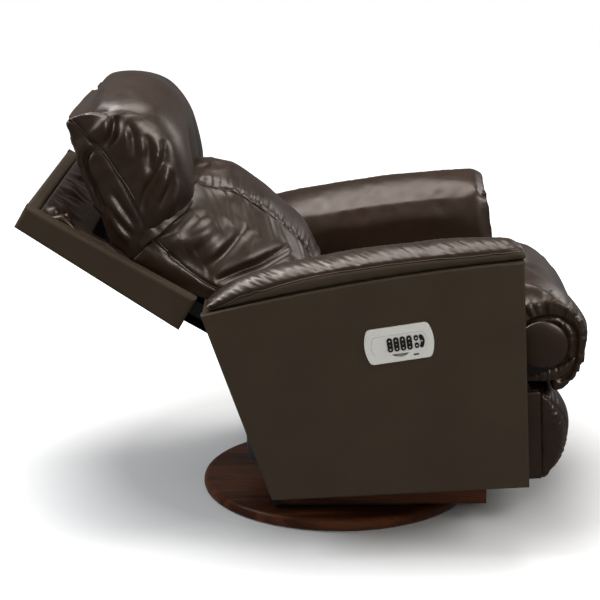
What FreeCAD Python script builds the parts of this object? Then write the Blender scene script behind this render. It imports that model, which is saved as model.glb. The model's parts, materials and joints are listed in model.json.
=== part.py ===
# Power swivel rocker recliner in leather, on a round wooden base.
# Millimetres. +X is the front of the chair, +Y the sitter's left, +Z up. The origin is on
# the floor, on the swivel axis. The pose at rest: back let down, headrest tilted forward,
# footrest closed, body tipped back a little on its rockers.
import FreeCAD, Part
import math
import os

Vec = FreeCAD.Vector
Y_AXIS = Vec(0, 1, 0)

# Clearances
SOFT_GAP = 0.4          # between a soft piece and its neighbour
RUN_CLEARANCE = 0.05    # radial, between a pin and its hole
FIT_GAP = 0.3           # between a panel and its neighbour

# Base disc and swivel bearing
DISC_RADIUS = 303.0
DISC_THICKNESS = 28.0
DISC_EDGE_RADIUS = 12.0
RACE_RADIUS = 115.0
RACE_WIDTH = 56.0
RACE_THICKNESS = 3.5
BALL_RADIUS = 3.5
BALL_COUNT = 16
BALL_SINK = 1.5
BOLT_RADIUS = 8.0
BOLT_HEAD_RADIUS = 20.0
BOLT_HEAD_HEIGHT = 7.0
BOLT_SEAT = 8.0
MOUNT_PLATE_LENGTH = 300.0
MOUNT_PLATE_THICKNESS = 3.0

# Base rails
RAIL_OUTER_Y = 240.0
RAIL_THICKNESS = 25.0
RAIL_HEIGHT = 70.0
RAIL_FRONT_X = 312.0
RAIL_REAR_X = -130.0
REAR_CROSS_X = -60.0
RAIL_NOSE_RADIUS = 18.0

# Rockers
ROCK_AXIS_X = -28.0
CAM_RADIUS = 700.0
CAM_HALF_LENGTH = 150.0
CAM_GAP = 0.3
BODY_TIP = 3.05
LEVEL_DATUM = -11.6
BEAM_BOTTOM = 215.0
BEAM_HEIGHT = 40.0
BEAM_WIDTH = 25.0
REAR_BEAM_X = -195.0
FRONT_BEAM_X = 90.0

# Arms, in the body's level frame: heights are from a datum a little below the floor
ARM_OUTER = 437.0
ARM_INNER = 268.0
ARM_BOTTOM = 142.0
ARM_FRONT = 341.0
ARM_REAR_BOTTOM = -179.0
PANEL_TOP_REAR = (-298.0, 535.0)
PANEL_TOP_MIDDLE = (38.0, 587.0)
PANEL_TOP_FRONT_Z = 611.0
PANEL_THICKNESS = 25.0
PANEL_EDGE_RADIUS = 5.0
FACING_THICKNESS = 12.0
FRAME_TOP_DROP = 5.0
FRAME_WALL = 14.0
CREST_Y = 385.0
CREST_REAR = (-179.0, 610.0)
CREST_MIDDLE = (22.0, 637.0)
CREST_FRONT = (330.0, 650.0)
CREST_NOSE_LENGTH = 120.0
CREST_NOSE_DROP = 30.0
PAD_OUTER_INSET = 4.0
PAD_SHOULDER = 0.68
PAD_BAND_SHARE = 0.42
PAD_WALL = 18.0
PAD_BOTTOM = 440.0
PAD_INNER_DROP = 46.0
PAD_REAR_X = -291.0
PAD_FRONT_X = 346.0
PAD_REAR_LEAN = 0.30
PAD_FRONT_LEAN = 0.10
PAD_END_DROP = 14.0

# Mechanism
PLATE_THICKNESS = 4.0
LINK_THICKNESS = 4.0
LINK_SPACE = 2.0
LINK_HALF_WIDTH = 13.0
PLATE_BOTTOM = 165.0
PLATE_FRONT_X = 330.0
PLATE_REAR_X = -200.0
PLATE_EAR_RADIUS = 26.0
PLATE_SLOT_RADIUS = 22.0
PIVOT_PIN_RADIUS = 6.0
PIVOT_BOSS_RADIUS = 10.0
TUBE_RADIUS = 11.0
TUBE_WALL = 2.0

# Seat
SEAT_RAIL_BOTTOM = 328.0
SEAT_RAIL_HEIGHT = 24.0
SEAT_RAIL_WIDTH = 44.0
SEAT_END_RAIL_WIDTH = 25.0
SEAT_FRAME_REAR = -45.0
SEAT_FRAME_FRONT = 404.0
WEBBING_THICKNESS = 2.0
WEBBING_WIDTH = 50.0
WEBBING_COUNT = 6
SEAT_HALF_WIDTH = 262.0
SEAT_REAR_X = -48.0
SEAT_REAR_TOP = 452.0
SEAT_FRONT_X = 420.0
SEAT_FRONT_TOP = 490.0
SEAT_NOSE_X = 492.0
SEAT_NOSE_Z = 405.0
SEAT_LIP_X = 418.0
SEAT_LIP_Z = 295.0
SEAT_CROWN = 10.0
SEAT_DRAW_IN = 7.0
SEAT_END_PANEL_CENTRE = (408.0, 387.0)
SEAT_END_PANEL_HALF_WIDTH = 39.0
SEAT_END_PANEL_HALF_HEIGHT = 52.0
SEAT_END_PANEL_DEPTH = 8.0

# Footrest, closed
FOOT_ROOT = (300.0, 310.0)
FOOT_PIVOT = (358.0, 195.0)
FOOT_LINK_LENGTH = 185.0
FOOT_BOARD_X = 372.0
FOOT_BOARD_THICKNESS = 14.0
FOOT_BOARD_BOTTOM = 100.0
FOOT_BOARD_TOP = 284.0
FOOT_PAD_HALF_WIDTH = 262.0
FOOT_PAD_FRONT = 450.0
FOOT_PAD_BOTTOM = 89.0
FOOT_PAD_TOP = 287.0
FOOT_PAD_DRAW_IN = 10.0
FOOT_BRACKET_REACH = 75.0
FOOT_BRACKET_FLANGE = 24.0

# Backrest, in its own frame: x forward from the hinge, z up along the back
BACK_PIVOT = (-120.0, 448.0)
RECLINE = 57.15
SHELL_HALF_WIDTH = 345.0
SHELL_BOTTOM = 212.0
SHELL_TOP = 600.0
SHELL_FRONT = -22.0
SHELL_REAR_BOTTOM = -97.0
SHELL_REAR_TOP = -73.0
SHELL_WALL = 30.0
SHELL_TOP_WALL = 28.0
SHELL_PANEL = 12.0
SHELL_EDGE_RADIUS = 9.0
POST_FRONT = -40.0
POST_INNER_Y = 222.0
POST_TOP = 552.0
BACK_ARM_KNEE = (-62.0, 130.0)
BACK_ARM_TOP = 340.0
BACK_ARM_HALF_WIDTH = 15.0
LOWER_RAIL_Z = 150.0
RAIL_DEPTH = 30.0
UPPER_RAIL_Z = 330.0
BACK_CUSHION_HALF_WIDTH = 290.0
BACK_CUSHION_SEAT_HALF_WIDTH = 252.0
BACK_CUSHION_CREST = 203.0
BACK_CUSHION_FOOT_CREST = 122.0
BACK_CUSHION_SIDE = 34.0
BACK_CUSHION_TOP_REAR = (24.0, 354.0)
BACK_CUSHION_TOP_FRONT = (190.0, 318.0)
BACK_SEAM_RADIUS = 7.0
BACK_SEAM_FOOT_Y = 85.0
BACK_SEAM_TOP_Y = 142.0
BACK_SEAM_POINTS = 7
SKIRT_THICKNESS = 2.0
SKIRT_BOTTOM = 128.0

# Recline drive
CRANK_LENGTH = 110.0
CRANK_ANGLE = 19.0
CRANK_Y = -90.0
CRANK_THICKNESS = 8.0
YOKE_CHEEK = 8.0
YOKE_HALF_LENGTH = 18.0
SCREW_RADIUS = 8.0
RECLINE_SCREW_Z = 285.0
RECLINE_GEAR_X = 115.0
GEAR_LENGTH = 45.0
MOTOR_RADIUS = 22.0
RECLINE_MOTOR_LENGTH = 95.0

# Footrest drive
FOOT_SCREW_Z = 190.0
FOOT_MOTOR_X = -216.0
FOOT_MOTOR_BOTTOM = 84.0
FOOT_GEAR_HALF_LENGTH = 28.0
FOOT_NUT_X = -110.0
NUT_HALF = 19.0
HOUSING_EDGE = 5.0

# Power box
BOX_LENGTH = 70.0
BOX_WIDTH = 100.0
BOX_HEIGHT = 36.0
BOX_Y = 130.0

# Lumbar paddle
LUMBAR_BACK = -26.0
LUMBAR_THICKNESS = 10.0
LUMBAR_HALF_WIDTH = 120.0
LUMBAR_HALF_HEIGHT = 46.0
LUMBAR_TRAVEL = 25.0
LUMBAR_ROD_RADIUS = 5.0
LUMBAR_ROD_Y = 70.0
LUMBAR_ROD_END = -84.0
POCKET_MARGIN = 5.0

# Headrest, in its own frame at its hinge: x forward, z up along the pillow
HEAD_PIVOT = (-45.0, 420.0)
HEAD_TILT = 41.8
HEAD_ROD_RADIUS = 6.0
HEAD_PLATE_BACK = 24.0
HEAD_PLATE_THICKNESS = 12.0
HEAD_PLATE_HALF_WIDTH = 205.0
HEAD_PLATE_BOTTOM = 34.0
HEAD_PLATE_TOP = 262.0
PILLOW_HALF_WIDTH = 286.0
PILLOW_TOP = 314.0
PILLOW_EAR_TOP = 288.0
PILLOW_BULGE = 236.0
PILLOW_BULGE_Z = 160.0
PILLOW_CHIN = (226.0, 90.0)
PILLOW_THROAT = (92.0, 9.0)
PILLOW_END_DEPTH = 0.44
PILLOW_CHEEK_DEPTH = 0.84
PILLOW_SIDE_DEPTH = 0.97
PILLOW_SIDE_RISE = 0.72
PILLOW_SKIN = 10.0

# Control panel, in its own frame on the right arm's outer face
CONTROL_CENTRE = (90.0, 459.0)
CONTROL_SLOPE = 5.7
BEZEL_BORDER = 12.0
BEZEL_END_BULGE = 9.0
BEZEL_HALF_HEIGHT = 36.0
BEZEL_CORNER = 10.0
BEZEL_PROUD = 5.0
BEZEL_DEPTH = 19.0
BEZEL_BOX_INSET = 7.0
HANDSET_END_MARGIN = 1.7
HANDSET_END_BULGE = 7.5
HANDSET_HALF_HEIGHT = 19.3
HANDSET_CORNER = 6.0
HANDSET_PROUD = 6.0
HANDSET_DEPTH = 9.0
HANDSET_GAP = 0.3
KEY_PROUD = 2.4
KEY_DEPTH = 5.0
KEY_GAP = 0.4
KEY_ROOM = 1.7
KEY_AXLE_RADIUS = 1.2
ROCKER_KEY_WIDTH = 10.4
ROCKER_KEY_HEIGHT = 28.0
ROCKER_KEY_FIRST = -18.5
ROCKER_KEY_PITCH = 12.9
ROCKER_KEY_COUNT = 4
SMALL_KEY_WIDTH = 7.8
SMALL_KEY_HEIGHT = 11.0
SMALL_KEY_SPACING = 4.7
SMALL_KEY_RISE = 7.6
HOME_KEY_WIDTH = 7.6
HOME_KEY_HEIGHT = 26.0
HOME_KEY_SPACING = 4.6
SCOOP_HALF_WIDTH = 18.0
SCOOP_DEPTH = 7.5
PORT_LENGTH = 10.4
PORT_HEIGHT = 3.4
PORT_PLACE = (31.0, -26.0)

# Worked out from the sizes above
RACE_TOP = DISC_THICKNESS + RACE_THICKNESS
BALL_Z = RACE_TOP + BALL_RADIUS - BALL_SINK
UPPER_RACE_Z = BALL_Z + BALL_RADIUS - BALL_SINK
MOUNT_PLATE_Z = UPPER_RACE_Z + RACE_THICKNESS
RAIL_BOTTOM = MOUNT_PLATE_Z + MOUNT_PLATE_THICKNESS
RAIL_TOP = RAIL_BOTTOM + RAIL_HEIGHT
RAIL_INNER_Y = RAIL_OUTER_Y - RAIL_THICKNESS
ROCK_AXIS_Z = RAIL_TOP + CAM_GAP + CAM_RADIUS - LEVEL_DATUM
PANEL_INNER = ARM_OUTER - PANEL_THICKNESS
PAD_LEDGE_Y = ARM_INNER + PAD_WALL + 2 * SOFT_GAP
PANEL_TOP_FRONT = (ARM_FRONT, PANEL_TOP_FRONT_Z)
PLATE_INNER = ARM_INNER - PLATE_THICKNESS
LOWER_LINK_Y = PLATE_INNER - LINK_SPACE - LINK_THICKNESS
UPPER_LINK_Y = LOWER_LINK_Y - LINK_SPACE - LINK_THICKNESS
BRACKET_Y = UPPER_LINK_Y - LINK_SPACE - LINK_THICKNESS
BACK_ARM_Y = UPPER_LINK_Y
SEAT_RAIL_TOP = SEAT_RAIL_BOTTOM + SEAT_RAIL_HEIGHT
BEAM_TOP = BEAM_BOTTOM + BEAM_HEIGHT
HEAD_ARM_Y = POST_INNER_Y - 2 * LINK_THICKNESS - 3 * LINK_SPACE
REAR_RAKE = (PANEL_TOP_REAR[0] - ARM_REAR_BOTTOM) / (PANEL_TOP_REAR[1] - ARM_BOTTOM)
KEY_WALL = ROCKER_KEY_PITCH - ROCKER_KEY_WIDTH - 2 * KEY_GAP
KEY_AXLE_REACH = KEY_GAP + KEY_WALL / 4
ROCKER_KEY_LAST = ROCKER_KEY_FIRST + (ROCKER_KEY_COUNT - 1) * ROCKER_KEY_PITCH
SMALL_KEY_X = ROCKER_KEY_LAST + (ROCKER_KEY_WIDTH + SMALL_KEY_WIDTH) / 2 + SMALL_KEY_SPACING
HOME_KEY_X = SMALL_KEY_X + (SMALL_KEY_WIDTH + HOME_KEY_WIDTH) / 2 + HOME_KEY_SPACING
HANDSET_HALF_LENGTH = HOME_KEY_X + HANDSET_END_MARGIN
BEZEL_HALF_LENGTH = HANDSET_HALF_LENGTH + BEZEL_BORDER

# Frames that the sub-assemblies are built in
LEVEL = FreeCAD.Placement()


def turn_about_y(degrees, x, z):
    """Placement that turns about the line through (x, z) along Y; positive leans forward."""
    return FreeCAD.Placement(Vec(), FreeCAD.Rotation(Y_AXIS, degrees), Vec(x, 0, z))


def frame_at(parent, x, z, degrees):
    """Frame with its origin at (x, z) of the parent frame, turned about Y."""
    return parent.multiply(FreeCAD.Placement(Vec(x, 0, z), FreeCAD.Rotation(Y_AXIS, degrees)))


FLOOR = FreeCAD.Placement(Vec(0, 0, LEVEL_DATUM), FreeCAD.Rotation())
BODY = FLOOR.multiply(turn_about_y(-BODY_TIP, ROCK_AXIS_X, ROCK_AXIS_Z))
BACK = frame_at(BODY, BACK_PIVOT[0], BACK_PIVOT[1], -RECLINE)
HEAD = frame_at(BACK, HEAD_PIVOT[0], HEAD_PIVOT[1], HEAD_TILT)
CONTROL = frame_at(BODY, CONTROL_CENTRE[0], CONTROL_CENTRE[1], -CONTROL_SLOPE)


# Shape helpers
def block(x0, x1, y0, y1, z0, z1):
    """Box between two corners."""
    return Part.makeBox(x1 - x0, y1 - y0, z1 - z0, Vec(x0, y0, z0))


def rod_y(x, z, radius, y0, y1):
    """Round bar along Y."""
    return Part.makeCylinder(radius, y1 - y0, Vec(x, y0, z), Y_AXIS)


def rod_x(y, z, radius, x0, x1):
    """Round bar along X."""
    return Part.makeCylinder(radius, x1 - x0, Vec(x0, y, z), Vec(1, 0, 0))


def rod_z(x, y, radius, z0, z1):
    """Round bar along Z."""
    return Part.makeCylinder(radius, z1 - z0, Vec(x, y, z0))


def outline(start, *steps, at=lambda p: Vec(p[0], 0, p[1])):
    """Closed wire: a step is an end point, or a pair of a point on an arc and its end."""
    edges = []
    here = start
    for step in steps + (start,):
        if isinstance(step[0], tuple):
            through, end = step
            edges.append(Part.Arc(at(here), at(through), at(end)).toShape())
        else:
            end = step
            if end != here:
                edges.append(Part.LineSegment(at(here), at(end)).toShape())
        here = end
    return Part.Wire(edges)


def prism(wire, y0, y1):
    """Solid of an outline in the XZ plane, from y0 to y1."""
    face = Part.Face(wire)
    face.translate(Vec(0, y0, 0))
    return face.extrude(Vec(0, y1 - y0, 0))


def mirrored(shape):
    """The same piece on the other side of the chair."""
    return shape.mirror(Vec(), Y_AXIS)


def both(shape):
    """A left piece and its right twin as one group."""
    return Part.makeCompound([shape, mirrored(shape)])


def rounded(shape, radius, wanted):
    """Fillet the edges that the test picks."""
    edges = [edge for edge in shape.Edges if wanted(edge)]
    return shape.makeFillet(radius, edges)


def edges_at_y(y):
    """Test for the edges that lie in the plane at y."""
    return lambda edge: all(abs(v.Point.y - y) < 1e-6 for v in edge.Vertexes)


def edges_at_x(x):
    """Test for the edges along Y that lie in the plane at x."""
    return lambda edge: edges_along_y(edge) and abs(edge.Vertexes[0].Point.x - x) < 1e-6


def edges_along_y(edge):
    """Test for straight edges along Y."""
    ends = [v.Point for v in edge.Vertexes]
    return len(ends) == 2 and abs(ends[0].x - ends[1].x) + abs(ends[0].z - ends[1].z) < 1e-6


def bar_link(p, q, half_width, y0, y1):
    """Flat bar with round ends from p to q, in the XZ plane."""
    along = Vec(q[0] - p[0], 0, q[1] - p[1]).normalize()
    side = Vec(-along.z, 0, along.x) * half_width
    cap = along * half_width
    near = Vec(p[0], 0, p[1])
    far = Vec(q[0], 0, q[1])
    edges = [Part.LineSegment(near - side, far - side).toShape(),
             Part.Arc(far - side, far + cap, far + side).toShape(),
             Part.LineSegment(far + side, near + side).toShape(),
             Part.Arc(near + side, near - cap, near - side).toShape()]
    return prism(Part.Wire(edges), y0, y1)


def height_on_arc(p, q, r):
    """Height at x of the flat arc through three points, as a function."""
    circle = Part.Arc(Vec(p[0], 0, p[1]), Vec(q[0], 0, q[1]), Vec(r[0], 0, r[1])).toShape().Curve
    centre = circle.Center
    return lambda x: centre.z + math.sqrt(circle.Radius ** 2 - (x - centre.x) ** 2)


def loft(wires):
    """Smooth solid through closed wires."""
    return Part.makeLoft(wires, True)


def save(node, shape, frame=LEVEL):
    """Place a piece in the chair and write it."""
    placed = shape.copy()
    placed.Placement = frame.multiply(placed.Placement)
    placed.exportStep("parts/" + node + ".step")


panel_top = height_on_arc(PANEL_TOP_REAR, PANEL_TOP_MIDDLE, PANEL_TOP_FRONT)
crest_arc = height_on_arc(CREST_REAR, CREST_MIDDLE, CREST_FRONT)


def arm_rear(z):
    """Where the raked rear edge of the arm is at a height."""
    return ARM_REAR_BOTTOM + REAR_RAKE * (z - ARM_BOTTOM)


# Base disc and swivel bearing
def base_disc():
    r = DISC_EDGE_RADIUS
    lip = DISC_THICKNESS - r
    slant = math.sqrt(0.5)
    section = outline(
        (0.0, 0.0), (DISC_RADIUS - r, 0.0),
        ((DISC_RADIUS - r + r * slant, r - r * slant), (DISC_RADIUS, r)), (DISC_RADIUS, lip),
        ((DISC_RADIUS - r + r * slant, lip + r * slant), (DISC_RADIUS - r, DISC_THICKNESS)),
        (BOLT_RADIUS, DISC_THICKNESS), (BOLT_RADIUS, BOLT_SEAT), (0.0, BOLT_SEAT))
    return Part.Face(section).revolve(Vec(), Vec(0, 0, 1), 360)


def ball_race(z):
    groove = Part.makeTorus(RACE_RADIUS, BALL_RADIUS + RUN_CLEARANCE, Vec(0, 0, BALL_Z))
    ring = rod_z(0, 0, RACE_RADIUS + RACE_WIDTH / 2, z, z + RACE_THICKNESS)
    ring = ring.cut(rod_z(0, 0, RACE_RADIUS - RACE_WIDTH / 2, z, z + RACE_THICKNESS))
    return ring.cut(groove)


def swivel_balls():
    balls = []
    for i in range(BALL_COUNT):
        turn = 2 * math.pi * i / BALL_COUNT
        place = Vec(RACE_RADIUS * math.cos(turn), RACE_RADIUS * math.sin(turn), BALL_Z)
        balls.append(Part.makeSphere(BALL_RADIUS, place))
    return Part.makeCompound(balls)


def king_bolt():
    """Stud set in the disc, with the nut that keeps the swivel together."""
    shank = rod_z(0, 0, BOLT_RADIUS - RUN_CLEARANCE, BOLT_SEAT, RAIL_BOTTOM + BOLT_HEAD_HEIGHT)
    nut = rod_z(0, 0, BOLT_HEAD_RADIUS, RAIL_BOTTOM + FIT_GAP, RAIL_BOTTOM + BOLT_HEAD_HEIGHT)
    return shank.fuse(nut).removeSplitter()


def mount_plate():
    half = MOUNT_PLATE_LENGTH / 2
    plate = block(-half, half, -RAIL_OUTER_Y, RAIL_OUTER_Y, MOUNT_PLATE_Z, RAIL_BOTTOM)
    return plate.cut(rod_z(0, 0, BOLT_RADIUS + RUN_CLEARANCE, MOUNT_PLATE_Z, RAIL_BOTTOM))


def base_side_rail():
    front = RAIL_FRONT_X - RAIL_THICKNESS
    rail = prism(outline((RAIL_REAR_X, RAIL_BOTTOM), (front, RAIL_BOTTOM), (front, RAIL_TOP),
                         (RAIL_REAR_X, RAIL_TOP)), RAIL_INNER_Y, RAIL_OUTER_Y)

    def rear_end(edge):
        return edges_along_y(edge) and edge.Vertexes[0].Point.x < RAIL_REAR_X + 1e-6

    return rounded(rail, RAIL_NOSE_RADIUS, rear_end)


def base_cross_rails():
    front = block(RAIL_FRONT_X - RAIL_THICKNESS, RAIL_FRONT_X, -RAIL_OUTER_Y, RAIL_OUTER_Y,
                  RAIL_BOTTOM, RAIL_TOP)
    rear = block(REAR_CROSS_X, REAR_CROSS_X + RAIL_THICKNESS, -RAIL_INNER_Y, RAIL_INNER_Y,
                 RAIL_BOTTOM, RAIL_TOP)
    return Part.makeCompound([front, rear])


def build_base():
    save("base_disc", base_disc())
    save("swivel_lower_race", ball_race(DISC_THICKNESS))
    save("swivel_balls", swivel_balls())
    save("king_bolt", king_bolt())
    save("swivel_upper_race", ball_race(UPPER_RACE_Z))
    save("mount_plate", mount_plate())
    save("base_side_rails", both(base_side_rail()))
    save("base_cross_rails", base_cross_rails())


# Rockers and the beams that tie the two sides together
def rocker_cam():
    x0 = ROCK_AXIS_X - CAM_HALF_LENGTH
    x1 = ROCK_AXIS_X + CAM_HALF_LENGTH
    rise = CAM_RADIUS - math.sqrt(CAM_RADIUS ** 2 - CAM_HALF_LENGTH ** 2)
    low = ROCK_AXIS_Z - CAM_RADIUS
    return prism(outline((x0, low + rise), ((ROCK_AXIS_X, low), (x1, low + rise)),
                         (x1, BEAM_BOTTOM), (x0 - BEAM_WIDTH, BEAM_BOTTOM)),
                 RAIL_INNER_Y, RAIL_OUTER_Y)


def cross_beams():
    beams = []
    for x in (REAR_BEAM_X, FRONT_BEAM_X):
        beams.append(block(x, x + BEAM_WIDTH, -PLATE_INNER, PLATE_INNER, BEAM_BOTTOM, BEAM_TOP))
    return Part.makeCompound(beams)


def stud(place, inner_y, collar_y):
    """Pivot stud on the left mechanism plate, with a collar that spaces the first bar."""
    x, z = place
    pin = rod_y(x, z, PIVOT_PIN_RADIUS, inner_y, ARM_INNER)
    return pin.fuse(rod_y(x, z, PIVOT_BOSS_RADIUS, collar_y, ARM_INNER))


def mechanism_plate():
    px, pz = BACK_PIVOT
    r = PLATE_EAR_RADIUS
    wire = outline((PLATE_REAR_X, PLATE_BOTTOM), (PLATE_FRONT_X, PLATE_BOTTOM),
                   (PLATE_FRONT_X, SEAT_RAIL_TOP), (px + 2 * r, SEAT_RAIL_TOP), (px + r, pz),
                   ((px, pz + r), (px - r, pz)), (PLATE_REAR_X, BEAM_TOP))
    plate = prism(wire, PLATE_INNER, ARM_INNER)
    for x0, x1 in ((REAR_BEAM_X, FRONT_BEAM_X), (FRONT_BEAM_X, PLATE_FRONT_X)):
        inset = BEAM_WIDTH + 2 * PLATE_SLOT_RADIUS
        z = (BEAM_TOP + SEAT_RAIL_BOTTOM) / 2
        slot = bar_link((x0 + inset, z), (x1 - inset, z), PLATE_SLOT_RADIUS, PLATE_INNER, ARM_INNER)
        plate = plate.cut(slot)
    back_stud = stud(BACK_PIVOT, BACK_ARM_Y - LINK_SPACE, BACK_ARM_Y + LINK_THICKNESS + FIT_GAP)
    foot_stud = stud(FOOT_ROOT, LOWER_LINK_Y + FIT_GAP, LOWER_LINK_Y + LINK_THICKNESS + FIT_GAP)
    return plate.fuse([back_stud, foot_stud])


def build_chassis():
    plate = mechanism_plate()
    save("rocker_cams", both(rocker_cam()), BODY)
    save("cross_beams", cross_beams(), BODY)
    save("mechanism_plate_left", plate, BODY)
    save("mechanism_plate_right", mirrored(plate), BODY)


# Arms
def arm_outline(inset, top_drop):
    """Side view of the arm, drawn in by an inset at the front, rear and bottom."""
    low = ARM_BOTTOM
    front = ARM_FRONT - inset
    high = PANEL_TOP_REAR[1] - top_drop
    middle = PANEL_TOP_MIDDLE[0]
    return outline((arm_rear(low) + inset, low), (front, low), (front, panel_top(front) - top_drop),
                   ((middle, panel_top(middle) - top_drop), (arm_rear(high) + inset, high)))


def pad_room():
    """Step in the arm's inner side that takes the part of the pad that hangs down."""
    return block(2 * PAD_REAR_X, 2 * PAD_FRONT_X, ARM_INNER, PAD_LEDGE_Y, PAD_BOTTOM - SOFT_GAP,
                 2 * PAD_BOTTOM)


def arm_frame():
    shell = prism(arm_outline(FACING_THICKNESS + FIT_GAP, FRAME_TOP_DROP), ARM_INNER,
                  PANEL_INNER - FIT_GAP)
    hollow = prism(arm_outline(FACING_THICKNESS + FIT_GAP + FRAME_WALL, FRAME_TOP_DROP + FRAME_WALL),
                   PAD_LEDGE_Y + FRAME_WALL, PANEL_INNER - FIT_GAP - FRAME_WALL)
    return shell.cut([hollow, pad_room()])


def arm_side_panel():
    panel = prism(arm_outline(0, 0), PANEL_INNER, ARM_OUTER)
    return rounded(panel, PANEL_EDGE_RADIUS, edges_at_y(ARM_OUTER))


def arm_front_facing():
    x0 = ARM_FRONT - FACING_THICKNESS
    facing = block(x0, ARM_FRONT, ARM_INNER, PANEL_INNER - FIT_GAP, ARM_BOTTOM,
                   panel_top(x0) - FRAME_TOP_DROP)
    return facing.cut(pad_room())


def arm_rear_facing():
    top = panel_top(PANEL_TOP_REAR[0]) - FRAME_TOP_DROP
    wire = outline((arm_rear(ARM_BOTTOM), ARM_BOTTOM),
                   (arm_rear(ARM_BOTTOM) + FACING_THICKNESS, ARM_BOTTOM),
                   (arm_rear(top) + FACING_THICKNESS, top), (arm_rear(top), top))
    return prism(wire, ARM_INNER, PANEL_INNER - FIT_GAP).cut(pad_room())


def arm_crest(x):
    """Height of the arm pad's crest: an arc that rolls over at its rear end."""
    share = max(0.0, 1 - (x - PAD_REAR_X) / CREST_NOSE_LENGTH)
    return crest_arc(x) - CREST_NOSE_DROP * share ** 2


def pad_section(x, lean, drop=0.0):
    """Cut through the arm pad: over the top from the side panel, then down the inside."""
    crest = arm_crest(x) - drop
    edge = panel_top(x + lean * (crest - panel_top(x)))
    seam = edge + SOFT_GAP
    seat = edge - FRAME_TOP_DROP + SOFT_GAP
    outer = ARM_OUTER - PAD_OUTER_INSET
    ledge = PANEL_INNER - SOFT_GAP
    inner = ARM_INNER + SOFT_GAP
    band = seam + PAD_BAND_SHARE * (crest - seam)
    rise = crest - band

    def at(p):
        return Vec(x + lean * (crest - p[1]), p[0], p[1])

    shoulder = (outer - (outer - CREST_Y) * (1 - PAD_SHOULDER), band + rise * PAD_SHOULDER)
    haunch = ((CREST_Y + inner) / 2, crest - PAD_INNER_DROP * (1 - PAD_SHOULDER))
    return outline((outer, seam), (outer, band), (shoulder, (CREST_Y, crest)),
                   (haunch, (inner, crest - PAD_INNER_DROP)), (inner, PAD_BOTTOM),
                   (inner + PAD_WALL, PAD_BOTTOM), (inner + PAD_WALL, seat), (ledge, seat),
                   (ledge, seam), at=at)


def arm_pad():
    span = PAD_FRONT_X - PAD_REAR_X
    sections = []
    for share in (0.0, 0.07, 0.2, 0.4, 0.6, 0.8, 0.96):
        lean = PAD_REAR_LEAN + (PAD_FRONT_LEAN - PAD_REAR_LEAN) * share
        sections.append(pad_section(PAD_REAR_X + span * share, lean))
    nose = [sections[-1], pad_section(PAD_FRONT_X, PAD_FRONT_LEAN, PAD_END_DROP)]
    return loft(sections).fuse(Part.makeLoft(nose, True, True))


def rear_cover():
    """Black cloth panel that closes the chair between the arms, below the back."""
    z0 = BEAM_TOP + RAIL_DEPTH
    z1 = BACK_PIVOT[1] - PLATE_EAR_RADIUS
    inset = 2 * FACING_THICKNESS
    wire = outline((arm_rear(z0) + FACING_THICKNESS, z0), (arm_rear(z0) + inset, z0),
                   (arm_rear(z1) + inset, z1), (arm_rear(z1) + FACING_THICKNESS, z1))
    return prism(wire, -ARM_INNER, ARM_INNER)


def build_arms():
    frame = arm_frame()
    panel = arm_side_panel()
    pad = arm_pad()
    save("arm_frame_left", frame, BODY)
    save("arm_frame_right", mirrored(frame), BODY)
    save("arm_side_panel_left", panel, BODY)
    save("arm_side_panel_right", mirrored(panel).cut(control_opening()), BODY)
    save("arm_pad_left", pad, BODY)
    save("arm_pad_right", mirrored(pad), BODY)
    save("arm_front_facings", both(arm_front_facing()), BODY)
    save("arm_rear_facings", both(arm_rear_facing()), BODY)
    save("rear_cover", rear_cover(), BODY)


# Seat
def seat_side_rail():
    return block(SEAT_FRAME_REAR, SEAT_FRAME_FRONT - SEAT_END_RAIL_WIDTH,
                 PLATE_INNER - SEAT_RAIL_WIDTH, PLATE_INNER, SEAT_RAIL_BOTTOM, SEAT_RAIL_TOP)


def seat_end_rails():
    half = PLATE_INNER - SEAT_RAIL_WIDTH
    front_x = SEAT_FRAME_FRONT - SEAT_END_RAIL_WIDTH
    front = block(front_x, SEAT_FRAME_FRONT, -PLATE_INNER, PLATE_INNER, SEAT_RAIL_BOTTOM, SEAT_RAIL_TOP)
    rear = block(SEAT_FRAME_REAR, SEAT_FRAME_REAR + SEAT_END_RAIL_WIDTH, -half, half,
                 SEAT_RAIL_BOTTOM, SEAT_RAIL_TOP)
    return Part.makeCompound([front, rear])


def seat_webbing():
    room = 2 * (PLATE_INNER - SEAT_RAIL_WIDTH)
    pitch = room / WEBBING_COUNT
    straps = []
    for i in range(WEBBING_COUNT):
        y = -room / 2 + pitch * (i + 0.5)
        straps.append(block(SEAT_FRAME_REAR, SEAT_FRAME_FRONT, y - WEBBING_WIDTH / 2,
                            y + WEBBING_WIDTH / 2, SEAT_RAIL_TOP, SEAT_RAIL_TOP + WEBBING_THICKNESS))
    return Part.makeCompound(straps)


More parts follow.
